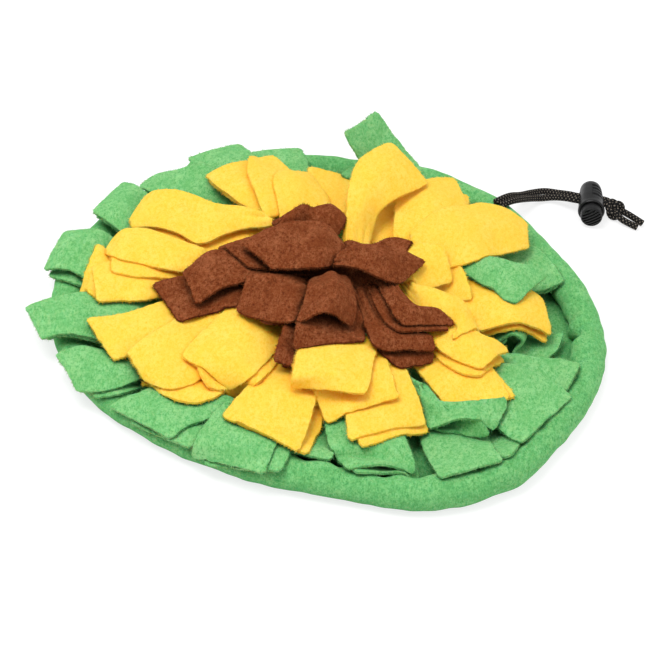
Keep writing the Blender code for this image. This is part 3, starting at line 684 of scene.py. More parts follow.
def mesh_object(name, points, faces, material, sharp=None):
    """An object from points in millimetres, with edges sharp from an angle in degrees."""
    mesh = bpy.data.meshes.new(name)
    mesh.from_pydata((np.asarray(points, float) * MM).tolist(), [], faces)
    mesh.materials.append(material)
    mesh.shade_smooth()
    if sharp:
        mesh.set_sharp_from_angle(angle=radians(sharp))
    obj = bpy.data.objects.new(name, mesh)
    bpy.context.collection.objects.link(obj)
    return obj


def ring_faces(count, per, looped=False):
    """Faces between rings of points. Where the last ring doesn't meet the first, two
    points that follow the rings close the ends."""
    faces = []
    for k in range(count if looped else count - 1):
        here, there = k * per, (k + 1) % count * per
        for j in range(per):
            n = (j + 1) % per
            faces.append((here + j, here + n, there + n, there + j))
    if not looped:
        first, base = count * per, (count - 1) * per
        faces += [(first, (j + 1) % per, j) for j in range(per)]
        faces += [(first + 1, base + j, base + (j + 1) % per) for j in range(per)]
    return faces


def unit(vectors):
    """The vectors, each one long."""
    return vectors / np.linalg.norm(vectors, axis=-1, keepdims=True)


def distances(path):
    """How far along the path each of its points is."""
    return np.concatenate([[0], np.cumsum(np.linalg.norm(np.diff(path, axis=0), axis=1))])


# Camera

IMAGE = 665  # pixels on a side
PIXEL = 0.6  # millimetres in a pixel at the view's middle
VIEW_ELEVATION = 38.2
VIEW_ROLL = 7.7
VIEW_DISTANCE = 1200.0
VIEW_MIDDLE = (0.0, -11.6, 0.0)


def build_camera():
    """The camera, which looks at VIEW_MIDDLE from the front."""
    camera = bpy.data.cameras.new("camera")
    camera.sensor_width = 36.0
    camera.lens = camera.sensor_width * VIEW_DISTANCE / (IMAGE * PIXEL)
    camera.clip_start, camera.clip_end = 0.05, 20.0
    rise, roll = radians(VIEW_ELEVATION), radians(VIEW_ROLL)
    back = Vector((0, -cos(rise), sin(rise)))
    right = Vector((1, 0, 0))
    up = back.cross(right)
    turn = Matrix((right * cos(roll) + up * sin(roll),
                   up * cos(roll) - right * sin(roll), back)).transposed()
    obj = bpy.data.objects.new("camera", camera)
    obj.matrix_world = turn.to_4x4()
    obj.location = (Vector(VIEW_MIDDLE) + back * VIEW_DISTANCE) * MM
    bpy.context.collection.objects.link(obj)
    bpy.context.scene.camera = obj


def seen_at(x, y, height):
    """The point at that height which the camera sees at that pixel."""
    turn = bpy.context.scene.camera.matrix_world.to_3x3()
    ray = turn @ Vector(((x - IMAGE / 2) * PIXEL, (IMAGE / 2 - y) * PIXEL, -VIEW_DISTANCE))
    start = bpy.context.scene.camera.location / MM
    return start + ray * ((height - start.z) / ray.z)


# The drawcord and its lock

LOCK_MIDDLE = (158, 155.2, LOCK_RADIUS * cos(radians(7.5)))  # where the strands cross it
MOUTH = (LOCK_MIDDLE[0], LOCK_MIDDLE[1] - CORDS_IN_LOCK, LOCK_MIDDLE[2])
KNOT = (174, 151, 6.9)
CORDS = {
    # points on each strand: from the hem through the lock, the knot, and to its cut end
    "cord_a": (
        (93.5, 124.6, 17.6), (99, 131.2, 17.2), (104, 138.5, 14.7), (111, 150, 8.5),
        (119, 161, 4.2), (128, 167.5, 2.5), (137, 165.8, 3.8), (144, 160, 7.6),
        (149, 157.6, 8.7), (158, 157.6, 8.7), (167.2, 157.5, 8.7), (171, 155.6, 8.3),
        (175.5, 152.6, 6.6), (181.7, 150.4, 5.4), (186.8, 148.2, 4.2), (193.3, 144.6, 2.8),
    ),
    "cord_b": (
        (97, 121.3, 17.8), (104, 129, 17), (111, 139.5, 12.4), (118, 150, 7),
        (126, 157.5, 3.4), (134, 159, 4.4), (141.5, 155.2, 7.6), (148, 153, 8.7),
        (158, 152.8, 8.7), (167.2, 152.8, 8.7), (171.5, 151.2, 7.6), (175.4, 148.4, 5.6),
        (178.8, 144.7, 4.2), (183.4, 142.6, 3.1), (189.6, 139.8, 2.4),
    ),
}
YARNS = 8  # each way round the braid
BRAID_PITCH = 10.0
YARN_TAPER = 0.55  # how much lower a yarn is where it dips under the next
PAINTED_GLINT_ABOVE = 0.6  # painted highlight on a yarn's crest where its relief is above this
YARN_SUNK, YARN_RISE = 0.34, 0.42  # the relief starts below the cord's surface
END_DOME = (0.5, 0.3)  # how far the two ends stand out
CORD_SIDES, CORD_STEP = 50, 0.27
CORD_SIDE = (0.1, 0.2, 1.0)  # no cord starts this way, so its sides are turned from it
KNOT_STEPS = 220
KNOT_RING, KNOT_SWING, KNOT_RISE = 3.0, 1.7, 2.0  # its radius, and how this and Z swing
KNOT_STRETCH = (1.02, 1.15)
KNOT_LEAN = (62, 25)  # degrees about X, after a turn about Z


def smooth_route(points, spacing):
    """Points about spacing apart on a smooth curve through the given ones."""
    given = np.array(points, float)
    ends = np.vstack([2 * given[0] - given[1], given, 2 * given[-1] - given[-2]])
    route = []
    for p, a, b, n in zip(ends, ends[1:], ends[2:], ends[3:]):
        parts = max(1, round(np.linalg.norm(b - a) / spacing))
        for k in range(parts):
            t = k / parts
            route.append(
                a + (b - p) / 2 * t + (2 * p - 5 * a + 4 * b - n) / 2 * t**2
                + (3 * a - p - 3 * b + n) / 2 * t**3
            )
    return np.array(route + [given[-1]])


def plaited(turn, along):
    """Relief, 0 to 1, of a braid, and where painted highlights lie on some yarns' crests, at a
    turn round it and a distance.
    """
    one = YARNS * (turn / tau + along / BRAID_PITCH)
    two = YARNS * (turn / tau - along / BRAID_PITCH)
    first = (np.floor(one) + np.floor(two)) % 2 == 0
    across = np.where(first, one % 1, two % 1) * 2 - 1
    down = np.where(first, two % 1, one % 1) * 2 - 1
    relief = (1 - across**2) ** 0.5 * (1 - YARN_TAPER * down**2)
    yarn = np.where(first, np.floor(one), np.floor(two)) % YARNS
    # Painted highlights on the crests of every other yarn that runs one way round
    fleck = np.where(first & (yarn % 2 == 1) & (relief > PAINTED_GLINT_ABOVE), 1.0, 0.0)
    return relief, fleck


def build_tube(name, route, looped=False):
    """A braided tube along the route, closed at its ends or running back into itself."""
    if looped:
        ahead = unit(np.roll(route, -1, 0) - np.roll(route, 1, 0))
    else:
        ahead = unit(np.gradient(route, axis=0))
    side = np.cross(ahead[0], CORD_SIDE)
    turns = tau * np.arange(CORD_SIDES) / CORD_SIDES
    points, plait, painted_glints = [], [], []
    for place, direction, distance in zip(route, ahead, distances(route)):
        side = unit(side - direction * (side @ direction))
        other = np.cross(direction, side)
        relief, fleck = plaited(turns, distance)
        radius = CORD / 2 - YARN_SUNK + YARN_RISE * relief
        ring = np.outer(np.cos(turns) * radius, side) + np.outer(np.sin(turns) * radius, other)
        points.append(place + ring)
        plait.append(relief)
        painted_glints.append(fleck)
    if not looped:
        points.append([route[0] - ahead[0] * END_DOME[0], route[-1] + ahead[-1] * END_DOME[1]])
        plait.append([0.0, 0.0])
        painted_glints.append([0.0, 0.0])
    faces = ring_faces(len(route), CORD_SIDES, looped)
    obj = mesh_object(name, np.concatenate(points), faces, MATERIALS["cord"])
    # The relief, which paints shade between the yarns, and the painted highlights
    for label, values in (("plait", plait), ("fleck", painted_glints)):
        layer = obj.data.attributes.new(label, "FLOAT", "POINT")
        layer.data.foreach_set("value", np.concatenate(values).astype(np.float32))
    return obj


def build_cords(pieces):
    """The two strands. pieces: the lock's pieces and the knot; not used."""
    nodes = {"cord_a": ("strand_a", "tail_a"), "cord_b": ("strand_b", "tail_b")}
    for name, points in CORDS.items():
        route = smooth_route(points, CORD_STEP)
        obj = build_tube(name, route)
        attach(obj, "root")
        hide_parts(*nodes[name])


def build_knot():
    """The overhand knot as a trefoil of the same cord, drawn tight."""
    turn = np.linspace(0, tau, KNOT_STEPS, endpoint=False)
    ring = KNOT_RING + KNOT_SWING * np.cos(3 * turn)
    route = np.stack([ring * np.cos(2 * turn) * KNOT_STRETCH[0],
                      ring * np.sin(2 * turn) * KNOT_STRETCH[1],
                      KNOT_RISE * np.sin(3 * turn)], 1)
    tilt, spin = map(radians, KNOT_LEAN)
    lean = Matrix.Rotation(tilt, 3, "X") @ Matrix.Rotation(spin, 3, "Z")
    obj = build_tube("knot_winding", route @ np.array(lean).T + np.array(KNOT), looped=True)
    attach(obj, "root")
    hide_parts("knot")
    return obj


LOCK_TURNS = np.linspace(0, tau, 144, endpoint=False)  # directions round the lock
LOCK_OUTSIDE = (
    # distance from the mouth, radius
    (0.0, 8.35), (0.45, 8.75), (1.3, 8.8), (4.0, 8.45), (7.0, 8.35), (12.0, 8.2),
    (18.0, 7.8), (23.5, 7.3), (26.3, 6.7), (27.6, 5.9), (28.0, 5.0),
)
LOCK_BORE = ((0.0, 7.6), (5.0, 7.5), (5.0, 6.0), (24.3, 6.0))
NOTCHES = (9.4, 13.2, 17.0, 20.8)  # middles of the grip's slots, from the mouth
NOTCH_WIDTH, NOTCH_DEPTH = 1.9, 1.3
NOTCH_FROM, NOTCH_TO = 22.0, 96.0  # their ends, round the lock from +X to +Z
NOTCH_RUNOUT, NOTCH_EDGE = 5.0, 0.3  # slopes at their ends, in degrees, and at their sides
SLOT_HALF = CORD / 2 + CLEARANCE  # half the height of the strands' slot
SLOT_FROM = CORDS_IN_LOCK - CORD_SPACING / 2 - SLOT_HALF
SLOT_TO = CORDS_IN_LOCK + CORD_SPACING / 2 + SLOT_HALF
SLOT_CORNER, SLOT_SIDES, SLOT_REACH = 1.2, 48, 12.0
MOULDED_SHARP = 40  # degrees between faces that meet in a sharp edge
BUTTON_RADIUS, BUTTON_END, BUTTON_DOME = 6.75, -8.0, 1.1
BUTTON_SIDE = ((-6.9, 6.75), (-6.0, 7.15), (0.5, 7.15), (0.5, 5.65), (19.8, 5.65))
FACE_RINGS = 40
RIDGE_PITCH, RIDGE_RISE, RIDGE_LEAN = 2.0, 1.2, -36.0
RIDGED_RADIUS, RIDGE_FLANK = 6.1, (0.35, 0.65)


def smooth_step(value, low, high):
    """0 up to low, 1 from high, and a soft slope between them."""
    share = np.clip((value - low) / (high - low), 0, 1)
    return share * share * (3 - 2 * share)


def profile_of(corners, spacing):
    """Points along straight lines between the corners, at most spacing apart."""
    route = [corners[0]]
    for (y0, r0), (y1, r1) in zip(corners, corners[1:]):
        parts = max(1, int(np.ceil(np.hypot(y1 - y0, r1 - r0) / spacing)))
        route += [(y0 + (y1 - y0) * k / parts, r0 + (r1 - r0) * k / parts)
                  for k in range(1, parts + 1)]
    return np.array(route)


def rings_to_mesh(name, rings, material):
    """A closed mesh from rings of points; the first and the last are closed to a point."""
    points = np.concatenate([rings.reshape(-1, 3), [rings[0].mean(0), rings[-1].mean(0)]])
    return mesh_object(name, points, ring_faces(*rings.shape[:2]), material)


def round_y(profile):
    """Rings about the lock's axis from (distance, radius) pairs."""
    y, r = profile[:, :1], profile[:, 1:]
    return np.stack([MOUTH[0] + r * np.cos(LOCK_TURNS), MOUTH[1] + y + 0 * LOCK_TURNS,
                     MOUTH[2] + r * np.sin(LOCK_TURNS)], 2)


def cut_slot(obj, start):
    """Cuts the strands' slot through it along X, from start to SLOT_TO along the lock."""
    middle, half = (start + SLOT_TO) / 2, (SLOT_TO - start) / 2
    turns = tau * (np.arange(SLOT_SIDES) + 0.5) / SLOT_SIDES
    along, up = np.cos(turns), np.sin(turns)
    along = middle + np.sign(along) * (half - SLOT_CORNER) + SLOT_CORNER * along
    up = np.sign(up) * (SLOT_HALF - SLOT_CORNER) + SLOT_CORNER * up
    rings = np.stack([
        np.stack([np.full(SLOT_SIDES, MOUTH[0] + x), MOUTH[1] + along, MOUTH[2] + up], 1)
        for x in (-SLOT_REACH, SLOT_REACH)
    ])
    cutter = rings_to_mesh("cutter", rings, MATERIALS["plastic"])
    modifier = obj.modifiers.new("slot", "BOOLEAN")
    modifier.operation = "DIFFERENCE"
    modifier.solver = "EXACT"
    modifier.object = cutter
    bpy.context.view_layer.update()
    shape = obj.evaluated_get(bpy.context.evaluated_depsgraph_get())
    mesh = bpy.data.meshes.new_from_object(shape)
    obj.modifiers.clear()
    obj.data = mesh
    mesh.shade_smooth()
    mesh.set_sharp_from_angle(angle=radians(MOULDED_SHARP))
    bpy.data.objects.remove(cutter, do_unlink=True)


def build_shell():
    """The lock's body, with its bore, its grip's slots and the strands' slot."""
    outside = profile_of(LOCK_OUTSIDE, 0.3)
    bore = profile_of(LOCK_BORE, 1.5)
    rings = round_y(np.concatenate([bore[::-1], outside]))
    degrees = np.degrees(LOCK_TURNS)
    span = (smooth_step(degrees, NOTCH_FROM, NOTCH_FROM + NOTCH_RUNOUT)
            * (1 - smooth_step(degrees, NOTCH_TO - NOTCH_RUNOUT, NOTCH_TO)))
    sides = NOTCH_WIDTH / 2 - NOTCH_EDGE, NOTCH_WIDTH / 2 + NOTCH_EDGE
    depth = sum(1 - smooth_step(abs(outside[:, :1] - y), *sides) for y in NOTCHES)
    depth = depth * span * NOTCH_DEPTH
    skin = rings[len(bore):]
    out = (skin - (MOUTH[0], 0, MOUTH[2])) * (1, 0, 1)
    out /= np.maximum(np.linalg.norm(out, axis=2, keepdims=True), 1e-9)
    rings[len(bore):] = skin - out * depth[..., None]
    body = rings_to_mesh("lock_shell", rings[::-1], MATERIALS["plastic"])
    cut_slot(body, SLOT_FROM)
    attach(body, "root")
    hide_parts("lock_body")
    return body


def build_button():
    """The lock's button, domed and ridged, whose slot lets it slide along the strands."""
    radii = np.linspace(0.05, BUTTON_RADIUS, FACE_RINGS)
    dome = BUTTON_END + BUTTON_DOME * (radii / BUTTON_RADIUS) ** 3
    side = profile_of(BUTTON_SIDE, 1.0)
    rings = round_y(np.concatenate([np.stack([dome, radii], 1), side[1:]]))
    lean = radians(RIDGE_LEAN)
    level = (cos(lean) * np.sin(LOCK_TURNS)
             + sin(lean) * np.cos(LOCK_TURNS)) * radii[:, None]
    wave = abs(((level / RIDGE_PITCH) % 1) - 0.5) * 2
    inside = 1 - smooth_step(radii, RIDGED_RADIUS - 0.4, RIDGED_RADIUS + 0.2)[:, None]
    rings[:FACE_RINGS, :, 1] += RIDGE_RISE * inside * smooth_step(wave, *RIDGE_FLANK)
    button = rings_to_mesh("lock_plunger", rings, MATERIALS["plastic"])
    cut_slot(button, SLOT_FROM - PRESS)
    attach(button, "button")
    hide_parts("lock_button")
    return button


# The base

BEARINGS = 540  # steps round the base
SKIN_ROWS, LINING_ROWS, FLOOR_ROWS = 50, 26, 46
SMOOTHED = 13  # degrees to each side over which the outline is smoothed
# Places in the hem's section are degrees round it: -90 is its underside, 0 its outside.
TOE_TURN = 219.0  # where its turned-in edge meets the floor
LINING_END = -62.0
LINING_CALM = (90, 200)  # between these the toe's swelling fades out of the lining
LUMPS = ((1.5, 26.0, 3.0), (0.6, 9.0, 9.0))  # its swellings: rise, size across, seed
SWELLING, GATHERED = (-88, -40), (55, 165)  # where these and the gathers set in
PUCKER_SPACING = (4.5, 10.5)  # degrees between the gathers
PUCKER_WIDTH = (1.3, 2.9)
PUCKER_DEPTH = (0.9, 3.2)
PUCKER_LEAN = (-3.5, 3.5)
PUCKER_SHOULDER = (0.3, 2.1)  # cloth beside a gather: its rise and place, in depths and widths
LAST_PUCKER = 356  # the next would meet the first
FLOOR_WAVE, FLOOR_WAVES = 21.0, 0.5  # the floor's slack waves: size across, rise
FLOOR_SINK = 0.2  # how far they lie below the base's plain top
FLOOR_INSET = 1.0  # its edge starts this far inside the middle of the hem
INNERMOST = 0.02  # share of its radius at which its net ends in one point
random = np.random.default_rng(11)


def smooth_outline():
    """Radius at each whole degree from -180, without corners at the table's points."""
    bearings, radii = np.array(OUTLINE, float).T
    every_degree = np.interp(np.arange(-180, 180), bearings, radii, period=360)
    window = np.hanning(2 * SMOOTHED + 1)
    padded = np.concatenate([every_degree[-SMOOTHED:], every_degree, every_degree[:SMOOTHED]])
    return np.convolve(padded, window / window.sum(), "valid")


RADII = smooth_outline()


def hem_radius(bearing):
    """Of the hem's outer outline."""
    return np.interp(bearing, np.arange(-180, 180), RADII, period=360)


def hem_height(bearing):
    """Of the hem's plain section."""
    return HEM_HEIGHT + HEM_HEIGHT_SWING * np.cos(np.radians(bearing - HEM_FULLEST))


def noise_at(points, size, seed=0.0):
    """Smooth noise, -1 to 1, with features about size millimetres across."""
    flat = (np.asarray(points, float).reshape(-1, 3) / size + seed).tolist()
    return np.array([noise.noise(p) for p in flat]).reshape(points.shape[:-1])


def puckers():
    """(bearing, width, depth, lean) of each gather of the hem."""
    found, bearing = [], 0.0
    while bearing < LAST_PUCKER:
        found.append((bearing, random.uniform(*PUCKER_WIDTH), random.uniform(*PUCKER_DEPTH),
                      random.uniform(*PUCKER_LEAN)))
        bearing += random.uniform(*PUCKER_SPACING)
    return found


def hem_swelling(bearings, turns, points):
    """How far the hem's skin stands out from its plain section."""
    swell = sum(height * noise_at(points, size, seed) for height, size, seed in LUMPS)
    inner = smooth_step(turns, *GATHERED)
    rise, beside = PUCKER_SHOULDER
    for middle, width, depth, lean in puckers():
        off = (bearings - middle - lean * inner + 180) % 360 - 180
        swell -= depth * inner * np.exp(-(off / width) ** 2)
        swell += rise * depth * inner * np.exp(-((abs(off) / width - beside) ** 2))
    return swell * smooth_step(turns, *SWELLING)


def build_base():
    """The base: its floor, and its hem's skin and lining, which meet at the toe. Returns
    the skin's points."""
    bearing = np.linspace(0, 360, BEARINGS, endpoint=False)[:, None]
    outside = np.linspace(-90, TOE_TURN, SKIN_ROWS)[None]
    inside = np.linspace(TOE_TURN - 5, LINING_END, LINING_ROWS)[None]
    middle = hem_radius((bearing + 180) % 360 - 180) - HEM_WIDTH / 2
    half = hem_height(bearing) / 2
    across, up = np.cos(np.radians(bearing)), np.sin(np.radians(bearing))

    def placed(radius, height):
        """Points round the base, at a radius and a height for each."""
        return np.stack([radius * across, radius * up, height + 0 * radius], 2)

    def section(turns, skin, swell):
        """The hem's section at a depth below its skin, pushed out by its swelling."""
        reach, rise = HEM_WIDTH / 2 - skin + swell, half - skin + swell
        return placed(middle + reach * np.cos(np.radians(turns)),
                      half + rise * np.sin(np.radians(turns)))

    swell = hem_swelling(bearing, outside, section(outside, 0.0, 0.0))
    toe_swell = swell[:, -1:]
    skin = section(outside, 0.0, swell)
    toe = section(np.array([[TOE_TURN + 3]]), CLOTH / 2, toe_swell)
    lining = section(inside, CLOTH, toe_swell * smooth_step(inside, *LINING_CALM))
    share = np.linspace(1, INNERMOST, FLOOR_ROWS)[None]
    floor = placed((middle - FLOOR_INSET) * share, FLOOR + 0 * share)
    floor[..., 2] += FLOOR_WAVES * noise_at(floor, FLOOR_WAVE, 5.0) - FLOOR_SINK
    under = placed(middle * share[:, ::3], 0 * share[:, ::3])[:, ::-1]
    grid = np.concatenate([under, skin, toe, lining, floor], axis=1)
    grid[..., 2] = np.maximum(grid[..., 2], 0)
    per = grid.shape[1]
    points = np.concatenate([grid.reshape(-1, 3), [(0, 0, FLOOR), (0, 0, 0)]])
    faces = []
    for k in range(BEARINGS):
        here, there = k * per, (k + 1) % BEARINGS * per
        faces += [(here + j, there + j, there + j + 1, here + j + 1) for j in range(per - 1)]
        faces.append((here + per - 1, there + per - 1, BEARINGS * per))
        faces.append((there, here, BEARINGS * per + 1))
    obj = mesh_object("base_fleece", points, faces, MATERIALS["base"])
    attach(obj, "root")
    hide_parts("base")
    hem = grid[:, under.shape[1]:under.shape[1] + skin.shape[1]]
    return np.concatenate([hem, hem[:1]])


# Laying the strips. The plain nets are the CAD's; the fine ones are drawn through them.


def plain_ground():
    """The height map of the plain base: the highest surface over each cell so far."""
    steps = int(2 * HALF_GRID / CELL) + 1
    axis = np.linspace(-HALF_GRID, HALF_GRID, steps)
    x, y = np.meshgrid(axis, axis, indexing="ij")
    bearing = np.degrees(np.arctan2(y, x))
    middle = hem_radius(bearing) - HEM_WIDTH / 2
    out = (np.hypot(x, y) - middle) / (HEM_WIDTH / 2 + 1.0)
    half = hem_height(bearing) / 2
    hem = half + half * np.sqrt(np.clip(1 - out**2, 0, 1)) + CLEARANCE
    return np.where(np.abs(out) < 1, hem, np.where(out < 0, FLOOR, 0.0))


def cells(points):
    """The cell of the height map over which each point lies."""
    return tuple(
        np.clip(np.rint((points[..., k] + HALF_GRID) / CELL), 1, 2 * HALF_GRID / CELL - 1)
        .astype(int)
        for k in (0, 1)
    )


def widened(heights):
    """Each cell gets the highest of itself and its eight neighbours."""
    wide = heights.copy()
    for axis in (0, 1):
        wide = np.maximum(wide, np.maximum(np.roll(wide, 1, axis), np.roll(wide, -1, axis)))
    return wide


def shares(steps):
    """Shares of a triangle's three corners at points spread evenly over it."""
    return np.array([
        (i, j, steps - i - j) for i in range(steps + 1) for j in range(steps + 1 - i)
    ]) / steps


# Where the triangles of the plain and of the fine nets are sampled
WEIGHTS, FINE_WEIGHTS = shares(14), shares(3)


def spread(points, triangles, weights=WEIGHTS):
    """Points spread evenly over each triangle, one row for each."""
    return np.einsum("wk,tkc->twc", weights, points.reshape(-1, 3)[triangles])


def commit(heights, points, triangles, weights=WEIGHTS, margin=MARGIN_CELLS):
    """Adds a surface to the height map, and a margin round its edges."""
    laid = np.full_like(heights, -1.0)
    samples = spread(points, triangles, weights)
    np.maximum.at(laid, cells(samples), samples[..., 2])
    for _ in range(margin):
        laid = np.where(laid < 0, widened(laid), laid)
    return np.maximum(heights, laid)


def net_cells(rows, cols):
    """The corners, in order round it, of each cell of a net of so many rows and columns."""
    return [
        (a, a + 1, a + cols + 2, a + cols + 1)
        for i in range(rows) for a in range(i * (cols + 1), i * (cols + 1) + cols)
    ]


def net_triangles(rows, cols):
    """Two triangles for each cell of a net, split along either diagonal by turns."""
    found = []
    for place, (a, b, c, d) in enumerate(net_cells(rows, cols)):
        odd = (place // cols + place % cols) % 2
        found += [(a, c, b), (a, d, c)] if odd else [(a, d, b), (b, d, c)]
    return np.array(found)


TAIL = net_triangles(ROWS, COLS)
FOLD = net_triangles(FOLD_STEPS, COLS)


def tail_plan(root, aim, bend, length, width, roll=0.0, skew=0.0):
    """Plan of a tail: points from its root to its tip, and from its right to its left.
    A rolled tail is narrower: a shallow arc of rise h over a span s is s + 8/3 h^2/s long."""
    share = np.linspace(0, 1, ROWS + 1)
    turned = np.radians(aim - bend + bend * share)
    ahead = np.stack([np.cos(turned), np.sin(turned)], 1)
    path = np.cumsum((ahead[:-1] + ahead[1:]) / 2, axis=0) * length / ROWS
    path = np.array(root) + np.vstack([(0, 0), path])
    left = np.stack([-np.sin(turned), np.cos(turned)], 1)
    wide = width * (ROOT_WIDTH + (1 - ROOT_WIDTH) * np.minimum(1, ROOT_SPREAD * share))
    wide = (wide + np.sqrt(np.maximum(wide**2 - 32 / 3 * (roll * share) ** 2, 0))) / 2
    side = np.linspace(-0.5, 0.5, COLS + 1)
    net = path[:, None] + (left * wide[:, None])[:, None] * side[:, None]
    return net + skew * (ahead * share[:, None])[:, None] * side[:, None]


def normals(net):
    """Which way the cloth faces at each point of a net."""
    return unit(np.cross(np.gradient(net, axis=0), np.gradient(net, axis=1)))


def outer_face(net):
    """The net's upper side, half the cloth above its middle."""
    return net + normals(net) * CLOTH / 2


def soften(z):
    """Each height moves half way to the mean of those round it."""
    wide = np.pad(z, 1, mode="edge")
    around = (wide[:-2, 1:-1] + wide[2:, 1:-1] + wide[1:-1, :-2] + wide[1:-1, 2:]) / 4
    return (z + around) / 2


def cleared(plan, z, heights):
    """z, raised where the tail's underside comes nearer than GAP to what lies below."""
    for _ in range(CLEARINGS):
        net = np.dstack([plan, z])
        samples = spread(net - normals(net) * CLOTH / 2, TAIL)
        short = heights[cells(samples)] + GAP - samples[..., 2]
        worst = short.argmax(axis=1)
        most = short.max(axis=1)
        if most.max() <= 0:
            break
        push = WEIGHTS[worst] / (WEIGHTS[worst] ** 2).sum(1, keepdims=True)
        raised = np.zeros(z.size)
        np.maximum.at(raised, TAIL, push * np.maximum(most, 0)[:, None])
        z = z + raised.reshape(z.shape)
    return z


def lay(plan, heights, lift, tip, least):
    """Heights for a tail's net: it lies on what is beneath, with its own lift, and no
    part of its underside is nearer than GAP. least: floor for the root's height."""
    support = heights[cells(plan)] + GAP + CLOTH / 2
    support[0] = np.maximum(support[0].max(), least)
    share = np.linspace(0, 1, ROWS + 1)[:, None]
    lift = lift + max(0.0, tip - support[-1].mean()) * share**2
    z = support.copy()
    for _ in range(SETTLINGS):
        z = soften(z)
        z[0] = np.maximum(z[0].max(), least)
        z = cleared(plan, z + lift, heights) - lift
    return np.dstack([plan, z + lift])


def colour_of(strip):
    """The strip's colour, which its name begins with."""
    return strip.name.split("_")[0]


def lift_of(strip):
    """The upper tail's own rise above what it lies on: its arch and its rolled edges."""
    share = np.linspace(0, 1, ROWS + 1)[:, None]
    side = np.linspace(-1, 1, COLS + 1)[None, :]
    edge = side**2 if strip.roll > 0 else 1 - side**2
    return strip.arch * np.sin(pi * share) + abs(strip.roll) * share * edge


def strip_net(strip, heights):
    """Points from a strip's lower tip, round its fold to its upper tip, and the height
    map with the strip laid on it."""
    ring = RING_RADIUS[colour_of(strip)]
    length = strip.length or min(LONGEST, max(SHORTEST, np.hypot(*strip.tip[:2]) - ring))
    shape = (strip.bend, length, strip.width, strip.roll, strip.skew)
    upper = tail_plan((0, 0), strip.aim, *shape)
    upper += np.array(strip.tip[:2]) - upper[-1].mean(axis=0)
    root = upper[0].mean(axis=0)
    lower = tail_plan(root, strip.aim + strip.fan, strip.bend, length - strip.short, strip.width)
    back = radians(strip.aim - strip.bend + strip.fan / 2 + 180)
    back = np.array([cos(back), sin(back), 0])
    behind = np.concatenate([lower[:1], upper[:1]])[:, :, None]
    behind = behind + back[:2] * np.linspace(-1, FOLD_DEPTH, 6)[:, None]
    least = heights[cells(behind)].max() + GAP + CLOTH / 2
    lower = lay(lower, heights, 0.0, 0.0, least)
    heights = commit(heights, outer_face(lower), TAIL)
    upper = lay(upper, heights, lift_of(strip), strip.tip[2], lower[0, 0, 2] + strip.puff)
    heights = commit(heights, outer_face(upper), TAIL)
    half = (upper[0] - lower[0]) / 2
    fold = [
        (upper[0] + lower[0]) / 2 - half * cos(turn) + back * half[:, 2:] * sin(turn)
        for turn in (pi * k / FOLD_STEPS for k in range(1, FOLD_STEPS))
    ]
    net = np.concatenate([lower[::-1], fold, upper])
    turned = slice(ROWS, ROWS + FOLD_STEPS + 1)
    return net, commit(heights, outer_face(net)[turned], FOLD)


def drawn_through(points, parts):
    """Points on smooth curves through the rows of points, with so many parts in each."""
    step = np.linalg.norm(np.diff(points, axis=0), axis=2).mean(1) + 1e-6
    slope = np.diff(points, axis=0) / step[:, None, None]
    tangent = np.concatenate([slope[:1], np.zeros_like(points[1:-1]), slope[-1:]])
    before, after = step[:-1, None, None], step[1:, None, None]
    tangent[1:-1] = (slope[:-1] * after + slope[1:] * before) / (before + after)
    rows = []
    for k, count in enumerate(parts):
        for t in np.arange(count) / count:
            rows.append(
                (2 * t**3 - 3 * t**2 + 1) * points[k] + (3 * t**2 - 2 * t**3) * points[k + 1]
                + (t**3 - 2 * t**2 + t) * step[k] * tangent[k]
                + (t**3 - t**2) * step[k] * tangent[k + 1]
            )
    return np.array(rows + [points[-1]])


FINE_ROWS, FINE_COLS = ROWS * FINE, COLS * FINE
FINE_TAIL = net_triangles(FINE_ROWS, FINE_COLS)
FINE_WHOLE = net_triangles(2 * FINE_ROWS + FOLD_STEPS * FINE_FOLD, FINE_COLS)


def creases(tail, width, amount, seed):
    """How far a tail's cloth stands above its smooth net: the gathers at its root, one
    soft crease, slack waves, and corners that turn up or down."""
    own = np.random.default_rng(seed)
    far = distances(tail.mean(1))[:, None]
    side = np.linspace(-1, 1, FINE_COLS + 1)[None, :]
    length = far[-1, 0]
    pleats = own.integers(*PLEATS)
    rise = PLEAT_RISE * np.exp(-(far / PLEAT_REACH) ** 2)
    rise = rise * np.cos(pi * pleats * side + own.uniform(0, tau))
    flat = np.stack([far + 0 * side, side * width / 2 + 0 * far, 0 * far + 0 * side], 2)
    slack = sum(height * noise_at(flat, size, seed * step) for height, size, step in SLACK)
    rise = rise + smooth_step(far, *SLACK_FROM) * slack
    place, lean = own.uniform(*CREASE_PLACE) * length, own.uniform(*CREASE_LEAN)
    off = far - place - lean * side * width / 2
    rise = rise + own.uniform(*CREASE_RISE) * np.exp(-(off / own.uniform(*CREASE_WIDTH)) ** 2)
    for corner in (-1, 1):
        near = (length - far) ** 2 + ((side - corner) * width / 2) ** 2
        rise = rise + own.uniform(*CORNER_TURN) * np.exp(-near / CORNER_REACH**2)
    return amount * rise


def lifted(tail, heights):
    """The tail, raised softly wherever its underside would cut into what lies below."""
    tail = tail.copy()
    for _ in range(LIFTINGS):
        under = tail - normals(tail) * CLOTH / 2
        short = np.maximum(heights[cells(under)] + FINE_GAP - under[..., 2], 0)
        if short.max() < DEEPEST_CUT:
            break
        rise = short
        for _ in range(LIFT_SPREAD):
            rise = np.maximum(soften(rise), short)
        tail[..., 2] += rise
    return tail


def respaced(points, count):
    """count rows at equal distances on smooth curves through the rows of points."""
    dense = drawn_through(points, [DENSE] * (len(points) - 1))
    far = distances(dense.mean(1))
    place = np.interp(np.linspace(0, far[-1], count), far, np.arange(len(far)))
    low = np.minimum(place.astype(int), len(far) - 2)
    share = (place - low)[:, None, None]
    return dense[low] * (1 - share) + dense[low + 1] * share


